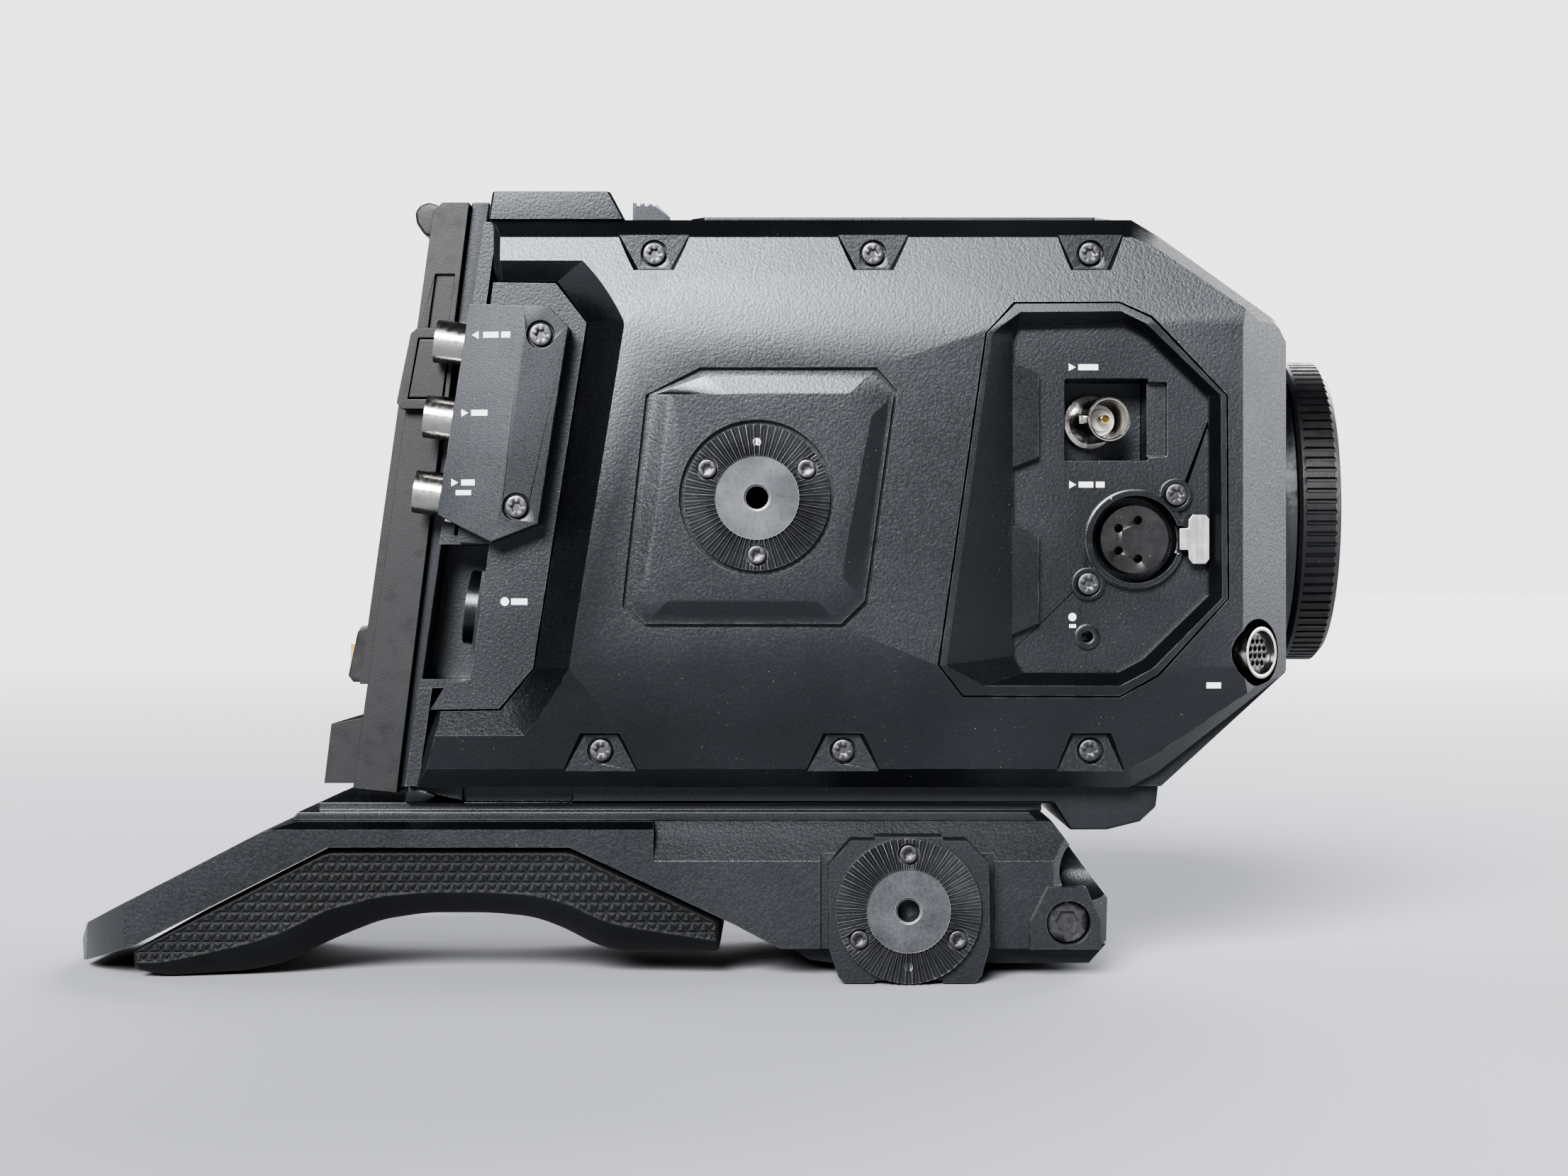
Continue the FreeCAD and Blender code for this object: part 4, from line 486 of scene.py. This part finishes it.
# ---------------------------------------------------------------- shoulder pad
PAD_TOP = [(-146.0, -99.4), (-101.9, -76.95), (-47.6, -76.95), (-11.0, -94.2)]
PAD_BOTTOM = [(-145.2, -103.2), (-138.5, -105.2), (-120.0, -104.3), (-112.0, -102.5), (-101.6, -97.3),
              (-90.5, -92.8), (-80.0, -91.2), (-66.0, -91.2), (-56.5, -92.1), (-50.0, -94.5), (-42.0, -98.8),
              (-36.7, -100.1), (-14.5, -99.5)]
PAD_HALF = 38.0
STAR_PITCH = 2.55
STAR_DEPTH = 0.28


def along(line, x):
    """Height of a polyline at x."""
    for (x0, z0), (x1, z1) in zip(line, line[1:]):
        if x <= x1:
            return z0 + (z1 - z0) * (x - x0) / (x1 - x0)
    return line[-1][1]


def smooth_along(line, x, reach=3.0):
    spots = [x + reach * k / 4 for k in range(-4, 5)]
    low, high = line[0][0], line[-1][0]
    return sum(along(line, min(high, max(low, s))) for s in spots) / len(spots)


def star_relief(x, z):
    """Depth of the crossing grooves that leave small six-pointed stars standing."""
    deepest = 0.0
    for angle in (0, 60, 120):
        a = math.radians(angle)
        across = (x * math.sin(a) + z * math.cos(a)) / (STAR_PITCH * 0.866)
        off = abs(across - round(across))
        deepest = max(deepest, 1 - off / 0.17)
    return STAR_DEPTH * min(1.0, max(0.0, deepest) * 1.6)


def pad_section(x):
    """Half section at x, from the top middle round the side to the bottom middle: (s, z) points."""
    top, low = smooth_along(PAD_TOP, x, 1.5), smooth_along(PAD_BOTTOM, x)
    tall = top - low
    band = low + tall * 0.36 if tall > 5 else low + tall * 0.5
    points = [(0.0, top), (24.0, top), (PAD_HALF - 0.9, top), (PAD_HALF - 0.3, top - 0.25)]
    count = 44
    for k in range(count + 1):
        z = top - 0.6 - (top - 0.6 - band) * k / count
        fade = min(1.0, (top - 0.6 - z) / 0.9, max(0.0, (z - band)) / 0.7, (x + 145.0) / 2, (-12.5 - x) / 2)
        points.append((PAD_HALF - star_relief(x, z) * max(0.0, fade), z))
    inset = min(5.5, tall * 0.30)
    points += [(PAD_HALF - 0.25, band - 0.35)]
    for k in range(1, 9):
        t = k / 8
        points.append((PAD_HALF - 0.3 - inset * t ** 1.25, band - 0.4 - (band - 0.4 - low) * t ** 0.8 * 0.94))
    points += [(PAD_HALF - inset - 1.6, low + 0.05), (PAD_HALF - inset - 4.0, low), (15.0, low), (0.0, low)]
    return points


def shoulder_pad():
    first, last, step = -145.0, -14.5, 0.27
    count = int((last - first) / step)
    xs = [first + (last - first) * i / count for i in range(count + 1)]
    verts, rings = [], []
    for i, x in enumerate(xs):
        end = min(x - first, last - x)
        shrink = 1 - max(0.0, 1.2 - end) / 1.2
        half = pad_section(x)
        squeeze = 0.55 * (1 - shrink) ** 2
        middle = (half[0][1] + half[-1][1]) / 2
        half = [(s - squeeze * (s > 1), z + (middle - z) * 0.16 * (1 - shrink) ** 2) for s, z in half]
        whole = half + [(-s, z) for s, z in reversed(half[1:-1])]
        rings.append(range(len(verts), len(verts) + len(whole)))
        verts += [at(x, s, z) for s, z in whole]
    faces = []
    for a, b in zip(rings, rings[1:]):
        for i in range(len(a)):
            j = (i + 1) % len(a)
            faces.append((a[i], b[i], b[j], a[j]))
    faces.append(tuple(rings[0]))
    faces.append(tuple(reversed(rings[-1])))
    pad = add_mesh("pad_moulding", verts, faces, materials["pad_rubber"], "camera")
    face_outwards(pad)
    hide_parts("shoulder_pad")


# ---------------------------------------------------------------- connector details
def connector_details():
    front_base, front_axis = at(68.3, 33.0, 18.9), Vector((0.2079, -0.9781, 0))
    lathe("front_bnc_insulator", front_base + front_axis * 3.05 * MM, front_axis,
          [(1.2, 0), (3.4, 0), (3.4, 5.2), (2.6, 5.2), (2.4, 6.0), (1.25, 6.0)], materials["insulator"])
    lathe("front_bnc_contact", front_base + front_axis * 9.0 * MM, front_axis,
          [(0.62, 0.0), (1.02, 0.0), (1.02, 3.2), (0.62, 3.2)], materials["gold"])
    tilt = math.radians(188)
    axis = Vector((math.cos(tilt), 0, -math.sin(tilt)))
    up = Vector((math.sin(tilt), 0, math.cos(tilt)))
    base = at(-71.06 + 0.14 * 18.3, 45.0, 18.3)
    for i, rise in enumerate((-16.7, 0.0, 16.7)):
        lathe(f"rear_bnc_insulator_{i + 1}", base + up * rise * MM + axis * 2.3 * MM, axis,
              [(1.2, 0), (3.4, 0), (3.4, 4.6), (1.25, 4.6)], materials["insulator"])


def port_marks():
    skin = Surface("rear_connector_cover", "rear_connector_frame", "front_connector_panel",
                   "right_side_cover", "connector_bezel", "side_rosette")
    white = materials["mark"]
    mark("mark_video_out", skin,
         [arrow(-66.6, 37.0, -1), dash(-65.6, 37.0, 3.4), dash(-61.6, 37.0, 2.0)], white)
    mark("mark_video_in", skin, [arrow(-70.4, 20.0, 1), dash(-68.2, 20.0, 3.6)], white)
    mark("mark_sync_in", skin,
         [arrow(-72.6, 4.8, 1), dash(-70.4, 4.8, 3.0), dash(-71.6, 2.6, 3.4, 1.1)], white)
    mark("mark_power_in", skin, [dot(-61.6, -21.2, 0.95), dash(-60.2, -21.2, 3.6, 1.4)], white)
    mark("mark_front_video", skin, [arrow(62.8, 30.5, 1), dash(64.9, 30.5, 4.4, 1.3)], white)
    mark("mark_power_out", skin, [arrow(62.9, 4.6, 1), dash(65.0, 4.6, 3.2), dash(68.8, 4.6, 1.9)], white)
    mark("mark_remote", skin, [dot(63.6, -24.6, 0.9), dash(62.9, -26.6, 1.5, 0.8)], white)
    mark("mark_lens", skin, [dash(92.4, -39.5, 3.2, 1.3)], white)
    mark("mark_rosette", skin, [dot(-5.9, 1.5 + 12.2, 0.8)], materials["insulator"])


for label, slot_name in ((row["node"], row["material_slot"]) for row in rows["subparts"]):
    finish_node(label, nodes[label], materials[slot_name])
make_camera()
make_studio()
shoulder_pad()
connector_details()
port_marks()
